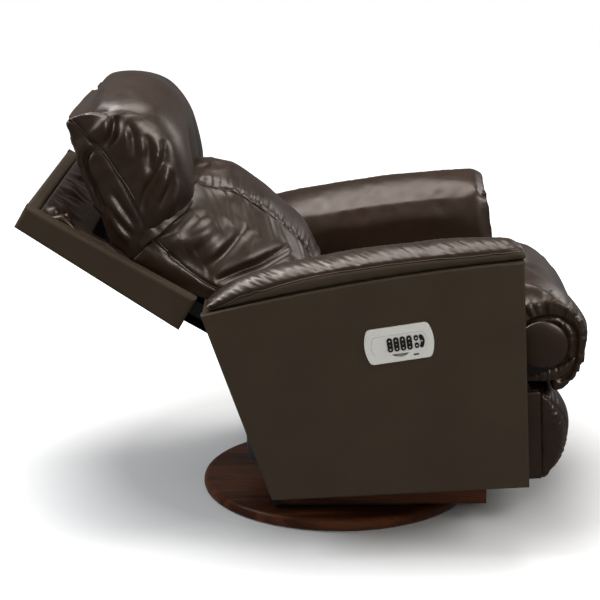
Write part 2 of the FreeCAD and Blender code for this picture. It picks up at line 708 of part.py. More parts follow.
def seat_section(y, crown, draw_in):
    """Side view of the seat cushion: flat under, rolled over the front rail."""
    base = SEAT_RAIL_TOP + WEBBING_THICKNESS + SOFT_GAP
    back_of_roll = SEAT_FRAME_FRONT + SOFT_GAP
    nose = SEAT_NOSE_X - draw_in
    top_z = SEAT_FRONT_TOP + crown - draw_in
    rear_z = SEAT_REAR_TOP + crown - draw_in
    lip_z = SEAT_LIP_Z + draw_in
    roll_upper = ((nose + SEAT_FRONT_X) / 2 + 0.2 * (nose - SEAT_FRONT_X),
                  (top_z + SEAT_NOSE_Z) / 2 + 0.2 * (top_z - SEAT_NOSE_Z))
    roll_lower = ((nose + SEAT_LIP_X) / 2 + 0.13 * (nose - SEAT_LIP_X),
                  (lip_z + SEAT_NOSE_Z) / 2 - 0.13 * (SEAT_NOSE_Z - lip_z))
    top_middle = ((SEAT_REAR_X + SEAT_FRONT_X) / 2, (top_z + rear_z) / 2 + crown)

    def at(p):
        return Vec(p[0], y, p[1])

    return outline((SEAT_REAR_X + draw_in, base), (back_of_roll, base), (back_of_roll, lip_z),
                   (SEAT_LIP_X, lip_z), (roll_lower, (nose, SEAT_NOSE_Z)),
                   (roll_upper, (SEAT_FRONT_X, top_z)), (top_middle, (SEAT_REAR_X + draw_in, rear_z)),
                   at=at)


def seat_cushion():
    half = SEAT_HALF_WIDTH
    stations = ((-half, 0.0, SEAT_DRAW_IN), (-0.85 * half, 0.35 * SEAT_CROWN, 0.0),
                (0.0, SEAT_CROWN, 0.0), (0.85 * half, 0.35 * SEAT_CROWN, 0.0),
                (half, 0.0, SEAT_DRAW_IN))
    cushion = loft([seat_section(*station) for station in stations])
    x, z = SEAT_END_PANEL_CENTRE
    rise = SEAT_END_PANEL_HALF_HEIGHT - SEAT_END_PANEL_HALF_WIDTH
    end_panel = bar_link((x, z - rise), (x, z + rise), SEAT_END_PANEL_HALF_WIDTH,
                         half - SEAT_END_PANEL_DEPTH, 2 * half)
    return cushion.cut([end_panel, mirrored(end_panel)])


def build_seat():
    save("seat_side_rails", both(seat_side_rail()), BODY)
    save("seat_end_rails", seat_end_rails(), BODY)
    save("seat_webbing", seat_webbing(), BODY)
    save("seat_cushion", seat_cushion(), BODY)


# Footrest and its links
def foot_knee():
    """Where the two folded links meet: behind both pivots, one link length from each."""
    (x0, z0), (x1, z1) = FOOT_ROOT, FOOT_PIVOT
    span = math.hypot(x1 - x0, z1 - z0)
    height = math.sqrt(FOOT_LINK_LENGTH ** 2 - span ** 2 / 4)
    ux, uz = (x1 - x0) / span, (z1 - z0) / span
    return ((x0 + x1) / 2 + height * uz, (z0 + z1) / 2 - height * ux)


def pin_hole(place, y0):
    return rod_y(place[0], place[1], PIVOT_PIN_RADIUS + RUN_CLEARANCE, y0, y0 + LINK_THICKNESS)


def link_pin(place, y0, y1, boss_y0, boss_y1):
    """Riveted pin with the boss that spaces two bars."""
    pin = rod_y(place[0], place[1], PIVOT_PIN_RADIUS, y0, y1)
    return pin.fuse(rod_y(place[0], place[1], PIVOT_BOSS_RADIUS, boss_y0, boss_y1))


def footrest_lower_links():
    """Both lower links, welded to the drive tube that turns them together."""
    y0 = LOWER_LINK_Y
    link = bar_link(FOOT_ROOT, foot_knee(), LINK_HALF_WIDTH, y0, y0 + LINK_THICKNESS)
    link = link.cut(pin_hole(FOOT_ROOT, y0)).cut(pin_hole(foot_knee(), y0))
    tube = rod_y(FOOT_ROOT[0], FOOT_ROOT[1], TUBE_RADIUS, -y0, y0)
    tube = tube.cut(rod_y(FOOT_ROOT[0], FOOT_ROOT[1], TUBE_RADIUS - TUBE_WALL, -y0, y0))
    return tube.fuse([link, mirrored(link)])


def footrest_upper_link():
    y0 = UPPER_LINK_Y
    knee = foot_knee()
    link = bar_link(knee, FOOT_PIVOT, LINK_HALF_WIDTH, y0, y0 + LINK_THICKNESS)
    link = link.cut(pin_hole(FOOT_PIVOT, y0))
    top = y0 + LINK_THICKNESS
    return link.fuse(link_pin(knee, y0, LOWER_LINK_Y + LINK_THICKNESS, top, LOWER_LINK_Y - FIT_GAP))


def footrest_bracket():
    """Angle on the back of the board, with an ear for the upper link."""
    x, z = FOOT_PIVOT
    y0 = BRACKET_Y
    y1 = y0 + LINK_THICKNESS
    reach = FOOT_BRACKET_REACH
    r = LINK_HALF_WIDTH
    wire = outline((FOOT_BOARD_X, z - reach), (FOOT_BOARD_X, z + reach),
                   (FOOT_BOARD_X - LINK_THICKNESS, z + reach), (x, z + r),
                   ((x - r, z), (x, z - r)), (FOOT_BOARD_X - LINK_THICKNESS, z - reach))
    ear = prism(wire, y0, y1)
    flange = block(FOOT_BOARD_X - LINK_THICKNESS, FOOT_BOARD_X, y1 - FOOT_BRACKET_FLANGE, y1,
                   z - reach, z + reach)
    pin = link_pin(FOOT_PIVOT, y0, UPPER_LINK_Y + LINK_THICKNESS, y1, UPPER_LINK_Y - FIT_GAP)
    return ear.fuse([flange, pin])


def footrest_board():
    half = BRACKET_Y + LINK_THICKNESS
    board = block(FOOT_BOARD_X, FOOT_BOARD_X + FOOT_BOARD_THICKNESS, -half, half,
                  FOOT_BOARD_BOTTOM, FOOT_BOARD_TOP)

    def corner(edge):
        ends = [v.Point for v in edge.Vertexes]
        return abs(ends[0].y - ends[1].y) + abs(ends[0].z - ends[1].z) < 1e-6

    return rounded(board, LINK_HALF_WIDTH, corner)


def foot_pad_section(y, draw_in):
    back = FOOT_BOARD_X + FOOT_BOARD_THICKNESS + SOFT_GAP
    front = FOOT_PAD_FRONT - draw_in
    low = FOOT_PAD_BOTTOM + draw_in / 4
    high = FOOT_PAD_TOP - draw_in / 4
    lip = back + 0.28 * (front - back)

    def at(p):
        return Vec(p[0], y, p[1])

    return outline((back, low), (lip, low), ((front, (low + high) / 2), (lip, high)), (back, high), at=at)


def footrest_pad():
    half = FOOT_PAD_HALF_WIDTH
    stations = ((-half, 2 * FOOT_PAD_DRAW_IN), (-0.9 * half, 0.5 * FOOT_PAD_DRAW_IN), (0.0, 0.0),
                (0.9 * half, 0.5 * FOOT_PAD_DRAW_IN), (half, 2 * FOOT_PAD_DRAW_IN))
    return loft([foot_pad_section(*station) for station in stations])


def build_footrest():
    save("footrest_lower_links", footrest_lower_links(), BODY)
    save("footrest_upper_links", both(footrest_upper_link()), BODY)
    save("footrest_brackets", both(footrest_bracket()), BODY)
    save("footrest_board", footrest_board(), BODY)
    save("footrest_pad", footrest_pad(), BODY)


# Drives under the seat
def footrest_actuator():
    """Hanging motor and gearbox under the rear beam, with a screw to the front beam."""
    gear_x0 = FOOT_MOTOR_X - FOOT_GEAR_HALF_LENGTH
    gear_x1 = REAR_BEAM_X + BEAM_WIDTH
    gear_z0 = 2 * FOOT_SCREW_Z - BEAM_BOTTOM
    gearbox = block(gear_x0, gear_x1, -FOOT_GEAR_HALF_LENGTH, FOOT_GEAR_HALF_LENGTH, gear_z0, BEAM_BOTTOM)
    gearbox = rounded(gearbox, HOUSING_EDGE, edges_along_y)
    motor = rod_z(FOOT_MOTOR_X, 0, FOOT_GEAR_HALF_LENGTH - FIT_GAP, FOOT_MOTOR_BOTTOM, gear_z0)
    screw = rod_x(0, FOOT_SCREW_Z, SCREW_RADIUS, gear_x1, FRONT_BEAM_X + BEAM_WIDTH)
    bearing = block(FRONT_BEAM_X, FRONT_BEAM_X + BEAM_WIDTH, -NUT_HALF, NUT_HALF,
                    FOOT_SCREW_Z - NUT_HALF, BEAM_BOTTOM)
    return gearbox.fuse([motor, screw, bearing])


def footrest_nut():
    nut = block(FOOT_NUT_X - NUT_HALF, FOOT_NUT_X + NUT_HALF, -NUT_HALF, NUT_HALF,
                FOOT_SCREW_Z - NUT_HALF, FOOT_SCREW_Z + NUT_HALF)
    bore = rod_x(0, FOOT_SCREW_Z, SCREW_RADIUS + RUN_CLEARANCE, FOOT_NUT_X - NUT_HALF,
                 FOOT_NUT_X + NUT_HALF)
    return nut.cut(bore)


def crank_end():
    """Crank pin of the back at rest, in the body's level frame."""
    turn = math.radians(CRANK_ANGLE)
    return (BACK_PIVOT[0] + CRANK_LENGTH * math.sin(turn), BACK_PIVOT[1] - CRANK_LENGTH * math.cos(turn))


def recline_actuator():
    """Gearbox and motor on the front beam, with a screw to a bearing on the rear beam."""
    half = GEAR_LENGTH / 2
    y0 = CRANK_Y - half
    y1 = CRANK_Y + half
    x0 = FRONT_BEAM_X
    x1 = RECLINE_GEAR_X + GEAR_LENGTH
    top = 2 * RECLINE_SCREW_Z - BEAM_TOP
    gearbox = block(x0, x1, y0, y1, BEAM_TOP, top)
    gearbox = rounded(gearbox, HOUSING_EDGE, edges_along_y)
    motor = rod_y(x1 - half, RECLINE_SCREW_Z, MOTOR_RADIUS, y1, y1 + RECLINE_MOTOR_LENGTH)
    bearing = block(REAR_BEAM_X, REAR_BEAM_X + 0.7 * BEAM_WIDTH, CRANK_Y - NUT_HALF, CRANK_Y + NUT_HALF,
                    BEAM_TOP, RECLINE_SCREW_Z + NUT_HALF)
    screw = rod_x(CRANK_Y, RECLINE_SCREW_Z, SCREW_RADIUS, REAR_BEAM_X + 0.7 * BEAM_WIDTH, x0)
    return gearbox.fuse([motor, bearing, screw])


def recline_nut():
    """Nut on the recline screw, with a fork whose slots hold the crank pin."""
    x, z = crank_end()
    cheek_y = CRANK_THICKNESS / 2 + FIT_GAP
    outer_y = cheek_y + YOKE_CHEEK
    pin_rise = CRANK_LENGTH * (1 - math.cos(math.radians(CRANK_ANGLE)))
    top = z + PIVOT_BOSS_RADIUS + 2 * FIT_GAP
    body = block(x - YOKE_HALF_LENGTH, x + YOKE_HALF_LENGTH, CRANK_Y - outer_y, CRANK_Y + outer_y,
                 RECLINE_SCREW_Z - NUT_HALF, top)
    fork_floor = z - pin_rise - 2 * PIVOT_BOSS_RADIUS
    gap = block(x - YOKE_HALF_LENGTH, x + YOKE_HALF_LENGTH, CRANK_Y - cheek_y, CRANK_Y + cheek_y,
                fork_floor, top)
    slot = bar_link((x, z - pin_rise - FIT_GAP), (x, z + 2 * PIVOT_BOSS_RADIUS),
                    PIVOT_PIN_RADIUS + 4 * FIT_GAP, CRANK_Y - outer_y, CRANK_Y + outer_y)
    bore = rod_x(CRANK_Y, RECLINE_SCREW_Z, SCREW_RADIUS + RUN_CLEARANCE, x - YOKE_HALF_LENGTH,
                 x + YOKE_HALF_LENGTH)
    return body.cut(gap).cut(slot).cut(bore)


def power_box():
    x0 = FRONT_BEAM_X + (BEAM_WIDTH - BOX_LENGTH) / 2
    box = block(x0, x0 + BOX_LENGTH, BOX_Y - BOX_WIDTH / 2, BOX_Y + BOX_WIDTH / 2,
                BEAM_BOTTOM - BOX_HEIGHT, BEAM_BOTTOM)
    return rounded(box, HOUSING_EDGE, edges_along_y)


def build_drives():
    save("footrest_actuator", footrest_actuator(), BODY)
    save("footrest_nut", footrest_nut(), BODY)
    save("recline_actuator", recline_actuator(), BODY)
    save("recline_nut", recline_nut(), BODY)
    save("power_box", power_box(), BODY)


# Backrest
def shell_rear(z):
    """Rear face of the shell at a height up the back."""
    share = (z - SHELL_BOTTOM) / (SHELL_TOP - SHELL_BOTTOM)
    return SHELL_REAR_BOTTOM + share * (SHELL_REAR_TOP - SHELL_REAR_BOTTOM)


def back_panel():
    half = SHELL_HALF_WIDTH - SHELL_WALL
    wire = outline((shell_rear(SHELL_BOTTOM), SHELL_BOTTOM),
                   (shell_rear(SHELL_BOTTOM) + SHELL_PANEL, SHELL_BOTTOM),
                   (shell_rear(SHELL_TOP) + SHELL_PANEL, SHELL_TOP), (shell_rear(SHELL_TOP), SHELL_TOP))
    return prism(wire, -half, half)


def back_side_wall():
    wire = outline((shell_rear(SHELL_BOTTOM), SHELL_BOTTOM), (SHELL_FRONT, SHELL_BOTTOM),
                   (SHELL_FRONT, SHELL_TOP), (shell_rear(SHELL_TOP), SHELL_TOP))
    wall = prism(wire, SHELL_HALF_WIDTH - SHELL_WALL, SHELL_HALF_WIDTH)
    return rounded(wall, SHELL_EDGE_RADIUS, edges_at_y(SHELL_HALF_WIDTH))


def back_top_wall():
    half = SHELL_HALF_WIDTH - SHELL_WALL
    z0 = SHELL_TOP - SHELL_TOP_WALL
    wire = outline((shell_rear(z0) + SHELL_PANEL, z0), (SHELL_FRONT, z0), (SHELL_FRONT, SHELL_TOP),
                   (shell_rear(SHELL_TOP) + SHELL_PANEL, SHELL_TOP))
    wall = prism(wire, -half, half)
    return rounded(wall, SHELL_EDGE_RADIUS, edges_at_x(SHELL_FRONT))


def back_post():
    z0 = SHELL_BOTTOM
    wire = outline((shell_rear(z0) + SHELL_PANEL, z0), (POST_FRONT, z0), (POST_FRONT, POST_TOP),
                   (shell_rear(POST_TOP) + SHELL_PANEL, POST_TOP))
    return prism(wire, POST_INNER_Y, BACK_ARM_Y)


def back_cross_rails():
    """Lower rail between the hinge arms, with guide holes for the lumbar rods; upper rail."""
    half = RAIL_DEPTH / 2
    x = BACK_ARM_KNEE[0]
    lower = block(x - half, x + half, -BACK_ARM_Y, BACK_ARM_Y, LOWER_RAIL_Z - half, LOWER_RAIL_Z + half)
    for y in (-LUMBAR_ROD_Y, LUMBAR_ROD_Y):
        lower = lower.cut(rod_x(y, LOWER_RAIL_Z, LUMBAR_ROD_RADIUS + RUN_CLEARANCE, x - half, x + half))
    z0 = UPPER_RAIL_Z - half
    z1 = UPPER_RAIL_Z + half
    upper = block(shell_rear(z1) + SHELL_PANEL, POST_FRONT, -POST_INNER_Y, POST_INNER_Y, z0, z1)
    return Part.makeCompound([lower, upper])


def back_hinge_arm():
    y1 = BACK_ARM_Y + LINK_THICKNESS
    knee = BACK_ARM_KNEE
    lower = bar_link((0, 0), knee, BACK_ARM_HALF_WIDTH, BACK_ARM_Y, y1)
    upper = bar_link(knee, (knee[0], BACK_ARM_TOP), BACK_ARM_HALF_WIDTH, BACK_ARM_Y, y1)
    arm = lower.fuse(upper).removeSplitter()
    return arm.cut(rod_y(0, 0, PIVOT_PIN_RADIUS + RUN_CLEARANCE, BACK_ARM_Y, y1))


def crank_tip():
    """Crank pin in the back's own frame."""
    turn = math.radians(CRANK_ANGLE - RECLINE)
    return (CRANK_LENGTH * math.sin(turn), -CRANK_LENGTH * math.cos(turn))


def back_torque_tube():
    """Tube between the hinge arms, with the crank that the recline drive pushes."""
    tube = rod_y(0, 0, TUBE_RADIUS, -BACK_ARM_Y, BACK_ARM_Y)
    end = crank_tip()
    half = CRANK_THICKNESS / 2
    crank = bar_link((0, 0), end, PIVOT_BOSS_RADIUS, CRANK_Y - half, CRANK_Y + half)
    reach = half + FIT_GAP + YOKE_CHEEK
    pin = rod_y(end[0], end[1], PIVOT_PIN_RADIUS, CRANK_Y - reach, CRANK_Y + reach)
    whole = tube.fuse([crank, pin])
    return whole.cut(rod_y(0, 0, TUBE_RADIUS - TUBE_WALL, -BACK_ARM_Y, BACK_ARM_Y))


def back_section(z, rear, crest, half_width):
    """Cut across the back cushion: flat behind, boxed sides, crowned front."""
    side = rear + BACK_CUSHION_SIDE

    def at(p):
        return Vec(p[0], p[1], z)

    return outline((rear, -half_width), (rear, half_width), (side, half_width),
                   ((crest, 0.0), (side, -half_width)), at=at)


def back_seam(cushion, foot_z, top_z):
    """Sewn channel between the centre panel and a side bolster, along the cushion's front."""
    points = []
    for i in range(BACK_SEAM_POINTS):
        share = i / (BACK_SEAM_POINTS - 1)
        y = BACK_SEAM_FOOT_Y + share * (BACK_SEAM_TOP_Y - BACK_SEAM_FOOT_Y)
        z = foot_z + share * (top_z - foot_z)
        probe = Part.LineSegment(Vec(0, y, z), Vec(2 * BACK_CUSHION_CREST, y, z)).toShape()
        points.append(Vec(max(v.X for v in cushion.common(probe).Vertexes), y, z))
    curve = Part.BSplineCurve()
    curve.interpolate(points)
    ring = Part.makeCircle(BACK_SEAM_RADIUS, points[0], points[1] - points[0])
    return Part.Wire(curve.toShape()).makePipe(Part.Face(Part.Wire(ring)))


def back_cushion():
    rear = POST_FRONT + SOFT_GAP
    seat_half = BACK_CUSHION_SEAT_HALF_WIDTH - LINK_SPACE
    crest = BACK_CUSHION_CREST
    foot = BACK_CUSHION_FOOT_CREST
    clear_of_tube = TUBE_RADIUS + LINK_SPACE
    growth = BACK_CUSHION_HALF_WIDTH - seat_half
    top = BACK_CUSHION_TOP_REAR[1] + RAIL_DEPTH
    stations = ((FIT_GAP, clear_of_tube, foot, 0.97 * seat_half),
                (0.25 * top, 0.0, foot + 0.6 * (crest - foot), seat_half),
                (0.5 * top, rear, foot + 0.87 * (crest - foot), seat_half + 0.25 * growth),
                (0.75 * top, rear, crest, seat_half + 0.75 * growth),
                (top, rear, 0.93 * crest, BACK_CUSHION_HALF_WIDTH))
    cushion = loft([back_section(*station) for station in stations])
    (x0, z0), (x1, z1) = BACK_CUSHION_TOP_REAR, BACK_CUSHION_TOP_FRONT
    slope = (z1 - z0) / (x1 - x0)
    far = 2 * crest
    lid = prism(outline((-far, z0 + slope * (-far - x0)), (far, z0 + slope * (far - x0)),
                        (far, SHELL_TOP), (-far, SHELL_TOP)), -SHELL_HALF_WIDTH, SHELL_HALF_WIDTH)
    pocket_front = LUMBAR_BACK + LUMBAR_THICKNESS + LUMBAR_TRAVEL + POCKET_MARGIN
    pocket = block(-far, pocket_front, -LUMBAR_HALF_WIDTH - POCKET_MARGIN, LUMBAR_HALF_WIDTH + POCKET_MARGIN,
                   LOWER_RAIL_Z - LUMBAR_HALF_HEIGHT - POCKET_MARGIN,
                   LOWER_RAIL_Z + LUMBAR_HALF_HEIGHT + POCKET_MARGIN)
    behind = block(-far, rear, -SHELL_HALF_WIDTH, SHELL_HALF_WIDTH, 0, SHELL_TOP)
    tube_room = rod_y(0, 0, clear_of_tube, -SHELL_HALF_WIDTH, SHELL_HALF_WIDTH)
    seam = back_seam(cushion, stations[0][0] + BACK_SEAM_RADIUS, top - BACK_SEAM_RADIUS)
    return cushion.cut([lid, pocket, behind, tube_room, seam, mirrored(seam)])


def back_skirt():
    """Black cloth that hangs from the shell's lower edge down behind the cushion."""
    return block(shell_rear(SHELL_BOTTOM), shell_rear(SHELL_BOTTOM) + SKIRT_THICKNESS,
                 -BACK_ARM_Y, BACK_ARM_Y, SKIRT_BOTTOM, SHELL_BOTTOM)


def headrest_bracket():
    """Plate on the inside of the left post that carries the headrest's hinge rod."""
    x, z = HEAD_PIVOT
    y1 = POST_INNER_Y
    y0 = y1 - LINK_THICKNESS
    plate = bar_link((x - LINK_SPACE, z - RAIL_DEPTH), (x, z), LINK_HALF_WIDTH, y0, y1)
    return plate.cut(rod_y(x, z, HEAD_ROD_RADIUS + RUN_CLEARANCE, y0, y1))


def headrest_motor():
    """Small drive on the upper rail."""
    half = RAIL_DEPTH / 2
    z0 = UPPER_RAIL_Z + half
    z1 = z0 + RAIL_DEPTH
    body = block(shell_rear(z1) + SHELL_PANEL, POST_FRONT - LINK_SPACE, -half, half, z0, z1)
    return rounded(body, HOUSING_EDGE, edges_along_y)


def lumbar_paddle():
    """Rounded paddle on two guide rods that run in the lower rail."""
    x0 = LUMBAR_BACK
    x1 = x0 + LUMBAR_THICKNESS
    paddle = block(x0, x1, -LUMBAR_HALF_WIDTH, LUMBAR_HALF_WIDTH, LOWER_RAIL_Z - LUMBAR_HALF_HEIGHT,
                   LOWER_RAIL_Z + LUMBAR_HALF_HEIGHT)

    def corner(edge):
        ends = [v.Point for v in edge.Vertexes]
        return abs(ends[0].y - ends[1].y) + abs(ends[0].z - ends[1].z) < 1e-6

    paddle = rounded(paddle, 2 * LINK_HALF_WIDTH, corner)
    rods = [rod_x(y, LOWER_RAIL_Z, LUMBAR_ROD_RADIUS, LUMBAR_ROD_END, x0)
            for y in (-LUMBAR_ROD_Y, LUMBAR_ROD_Y)]
    return paddle.fuse(rods)


def build_back():
    save("back_panel", back_panel(), BACK)
    save("back_side_walls", both(back_side_wall()), BACK)
    save("back_top_wall", back_top_wall(), BACK)
    save("back_posts", both(back_post()), BACK)
    save("back_cross_rails", back_cross_rails(), BACK)
    save("back_hinge_arms", both(back_hinge_arm()), BACK)
    save("back_torque_tube", back_torque_tube(), BACK)
    save("back_cushion", back_cushion(), BACK)
    save("back_skirt", back_skirt(), BACK)
    save("headrest_brackets", both(headrest_bracket()), BACK)
    save("headrest_motor", headrest_motor(), BACK)
    save("lumbar_paddle", lumbar_paddle(), BACK)


# Headrest
def headrest_plate():
    x0 = HEAD_PLATE_BACK
    plate = block(x0, x0 + HEAD_PLATE_THICKNESS, -HEAD_PLATE_HALF_WIDTH, HEAD_PLATE_HALF_WIDTH,
                  HEAD_PLATE_BOTTOM, HEAD_PLATE_TOP)

    def corner(edge):
        ends = [v.Point for v in edge.Vertexes]
        return abs(ends[0].y - ends[1].y) + abs(ends[0].z - ends[1].z) < 1e-6

    return rounded(plate, 2 * LINK_HALF_WIDTH, corner)


def headrest_hinge():
    """Hinge rod with two arms welded on, which carry the plate."""
    rod = rod_y(0, 0, HEAD_ROD_RADIUS, -POST_INNER_Y, POST_INNER_Y)
    back = HEAD_PLATE_BACK
    low = HEAD_PLATE_BOTTOM
    r = LINK_HALF_WIDTH
    wire = outline((0, r), ((-r, 0), (0, -r)), (r, -r / 2), (back, low), (back, low + 4 * r))
    arm = prism(wire, HEAD_ARM_Y, HEAD_ARM_Y + LINK_THICKNESS)
    return rod.fuse([arm, mirrored(arm)])


def pillow_section(y, depth, top):
    """Side view of the pillow: flat behind, domed front, undercut where it meets the back."""
    back = HEAD_PLATE_BACK - PILLOW_SKIN

    def swell(x):
        return back + depth * (x - back)

    chin = (swell(PILLOW_CHIN[0]), PILLOW_CHIN[1])
    throat = (swell(PILLOW_THROAT[0]), PILLOW_THROAT[1])
    bulge = (swell(PILLOW_BULGE), PILLOW_BULGE_Z)
    brow = (swell(0.88 * PILLOW_BULGE), PILLOW_BULGE_Z + 0.6 * (top - PILLOW_BULGE_Z))
    crown = (swell(0.62 * PILLOW_BULGE), PILLOW_BULGE_Z + 0.92 * (top - PILLOW_BULGE_Z))

    def at(p):
        return Vec(p[0], y, p[1])

    return outline((back, throat[1]), throat, chin, (bulge, brow),
                   (crown, (swell(0.33 * PILLOW_BULGE), top)), (back, top - LINK_HALF_WIDTH), at=at)


def headrest_cushion():
    half = PILLOW_HALF_WIDTH
    ear = PILLOW_EAR_TOP
    between = ear + PILLOW_SIDE_RISE * (PILLOW_TOP - ear)
    stations = ((-half, PILLOW_END_DEPTH, ear), (-0.85 * half, PILLOW_CHEEK_DEPTH, ear),
                (-0.45 * half, PILLOW_SIDE_DEPTH, between), (0.0, 1.0, PILLOW_TOP),
                (0.45 * half, PILLOW_SIDE_DEPTH, between), (0.85 * half, PILLOW_CHEEK_DEPTH, ear),
                (half, PILLOW_END_DEPTH, ear))
    pillow = loft([pillow_section(*station) for station in stations])
    side = HEAD_PLATE_HALF_WIDTH + SOFT_GAP
    plate_room = block(HEAD_PLATE_BACK - SOFT_GAP, HEAD_PLATE_BACK + HEAD_PLATE_THICKNESS + SOFT_GAP,
                       -side, side, 0, HEAD_PLATE_TOP + SOFT_GAP)
    arm_room = block(0, HEAD_PLATE_BACK, HEAD_ARM_Y - SOFT_GAP, HEAD_ARM_Y + LINK_THICKNESS + SOFT_GAP, 0,
                     HEAD_PLATE_BOTTOM + 4 * LINK_HALF_WIDTH + SOFT_GAP)
    return pillow.cut([plate_room, arm_room, mirrored(arm_room)])


def build_headrest():
    save("headrest_plate", headrest_plate(), HEAD)
    save("headrest_hinge", headrest_hinge(), HEAD)
    save("headrest_cushion", headrest_cushion(), HEAD)


# Control panel: y is outward from the right arm, so it is measured towards -Y
FACE_Y = -ARM_OUTER


def plaque(half_length, bulge, half_height, corner, y0, y1):
    """Plate with straight long sides, bowed ends and rounded corners."""
    wire = outline((-half_length, half_height), (half_length, half_height),
                   ((half_length + bulge, 0), (half_length, -half_height)), (-half_length, -half_height),
                   ((-half_length - bulge, 0), (-half_length, half_height)))
    return rounded(prism(wire, y0, y1), corner, edges_along_y)


def stadium(x, z, width, height, grow, y0, y1):
    """Upright key shape with round ends."""
    half = width / 2 + grow
    rise = height / 2 - width / 2
    return bar_link((x, z - rise), (x, z + rise), half, y0, y1)


def rocker_key_x(i):
    return ROCKER_KEY_FIRST + i * ROCKER_KEY_PITCH


HANDSET_FACE_Y = FACE_Y - HANDSET_PROUD
KEY_FACE_Y = HANDSET_FACE_Y - KEY_PROUD
KEY_BACK_Y = HANDSET_FACE_Y + KEY_DEPTH
POCKET_FLOOR_Y = KEY_BACK_Y + KEY_ROOM
KEY_AXLE_Y = KEY_BACK_Y - KEY_AXLE_RADIUS - RUN_CLEARANCE


def control_opening():
    """Hole in the side panel that takes the bezel's box, in the body's frame."""
    hole = plaque(BEZEL_HALF_LENGTH - BEZEL_BOX_INSET + FIT_GAP, BEZEL_END_BULGE,
                  BEZEL_HALF_HEIGHT - BEZEL_BOX_INSET + FIT_GAP, BEZEL_CORNER,
                  FACE_Y - BEZEL_PROUD, FACE_Y + BEZEL_DEPTH + FIT_GAP)
    hole.Placement = frame_at(LEVEL, CONTROL_CENTRE[0], CONTROL_CENTRE[1], -CONTROL_SLOPE)
    return hole


def control_bezel():
    """Moulded frame with a box behind it, a finger scoop and a charging slot."""
    front = FACE_Y - BEZEL_PROUD
    rim = plaque(BEZEL_HALF_LENGTH, BEZEL_END_BULGE, BEZEL_HALF_HEIGHT, BEZEL_CORNER, front, FACE_Y)
    rim = rounded(rim, BEZEL_PROUD / 3, edges_at_y(front))
    box = plaque(BEZEL_HALF_LENGTH - BEZEL_BOX_INSET, BEZEL_END_BULGE,
                 BEZEL_HALF_HEIGHT - BEZEL_BOX_INSET, BEZEL_CORNER, FACE_Y, FACE_Y + BEZEL_DEPTH)
    bay = plaque(HANDSET_HALF_LENGTH + HANDSET_GAP, HANDSET_END_BULGE, HANDSET_HALF_HEIGHT + HANDSET_GAP,
                 HANDSET_CORNER, front, FACE_Y + HANDSET_DEPTH + HANDSET_GAP)
    z = -HANDSET_HALF_HEIGHT
    scoop = prism(outline((-SCOOP_HALF_WIDTH, z), ((0.0, z - SCOOP_DEPTH), (SCOOP_HALF_WIDTH, z))),
                  front, FACE_Y + HANDSET_DEPTH)
    x, z = PORT_PLACE
    port = block(x - PORT_LENGTH / 2, x + PORT_LENGTH / 2, front, FACE_Y + BEZEL_DEPTH / 2,
                 z - PORT_HEIGHT / 2, z + PORT_HEIGHT / 2)
    return rim.fuse(box).removeSplitter().cut(bay).cut(scoop).cut(port)


def home_key(grow, y0, y1):
    """Tall key that bends with the handset's end."""
    half_h = HOME_KEY_HEIGHT / 2 + grow
    half_w = HOME_KEY_WIDTH / 2 + grow
    bow = HOME_KEY_WIDTH / 3
    x = HOME_KEY_X
    wire = outline((x - half_w - bow, half_h - half_w),
                   ((x - bow, half_h), (x + half_w - bow, half_h - half_w)),
                   ((x + half_w, 0), (x + half_w - bow, half_w - half_h)),
                   ((x - bow, -half_h), (x - half_w - bow, half_w - half_h)),
                   ((x - half_w, 0), (x - half_w - bow, half_h - half_w)))
    return prism(wire, y0, y1)


def handset():
    """Remote that lifts out of the bezel, with a pocket for each key."""
    body = plaque(HANDSET_HALF_LENGTH, HANDSET_END_BULGE, HANDSET_HALF_HEIGHT, HANDSET_CORNER,
                  HANDSET_FACE_Y, FACE_Y + HANDSET_DEPTH)
    pockets = []
    for i in range(ROCKER_KEY_COUNT):
        x = rocker_key_x(i)
        pockets.append(stadium(x, 0.0, ROCKER_KEY_WIDTH, ROCKER_KEY_HEIGHT + 2 * KEY_GAP, KEY_GAP,
                               HANDSET_FACE_Y, POCKET_FLOOR_Y))
        reach = ROCKER_KEY_WIDTH / 2 + KEY_AXLE_REACH
        pockets.append(rod_x(KEY_AXLE_Y, 0, KEY_AXLE_RADIUS + RUN_CLEARANCE, x - reach - RUN_CLEARANCE,
                             x + reach + RUN_CLEARANCE))
    for z in (-SMALL_KEY_RISE, SMALL_KEY_RISE):
        pockets.append(stadium(SMALL_KEY_X, z, SMALL_KEY_WIDTH, SMALL_KEY_HEIGHT, KEY_GAP,
                               HANDSET_FACE_Y, POCKET_FLOOR_Y))
    pockets.append(home_key(KEY_GAP, HANDSET_FACE_Y, POCKET_FLOOR_Y))
    return body.cut(pockets)


def rocker_key(i):
    x = rocker_key_x(i)
    key = stadium(x, 0.0, ROCKER_KEY_WIDTH, ROCKER_KEY_HEIGHT, 0.0, KEY_FACE_Y, KEY_BACK_Y)
    reach = ROCKER_KEY_WIDTH / 2 + KEY_AXLE_REACH
    return key.fuse(rod_x(KEY_AXLE_Y, 0, KEY_AXLE_RADIUS, x - reach, x + reach))


def small_key(z):
    return stadium(SMALL_KEY_X, z, SMALL_KEY_WIDTH, SMALL_KEY_HEIGHT, 0.0, KEY_FACE_Y, KEY_BACK_Y)


def build_controls():
    save("control_bezel", control_bezel(), CONTROL)
    save("handset", handset(), CONTROL)
    for i in range(ROCKER_KEY_COUNT):
        save("rocker_key_%d" % (i + 1), rocker_key(i), CONTROL)
    save("small_key_upper", small_key(SMALL_KEY_RISE), CONTROL)
    save("small_key_lower", small_key(-SMALL_KEY_RISE), CONTROL)
    save("home_key", home_key(0.0, KEY_FACE_Y, KEY_BACK_Y), CONTROL)


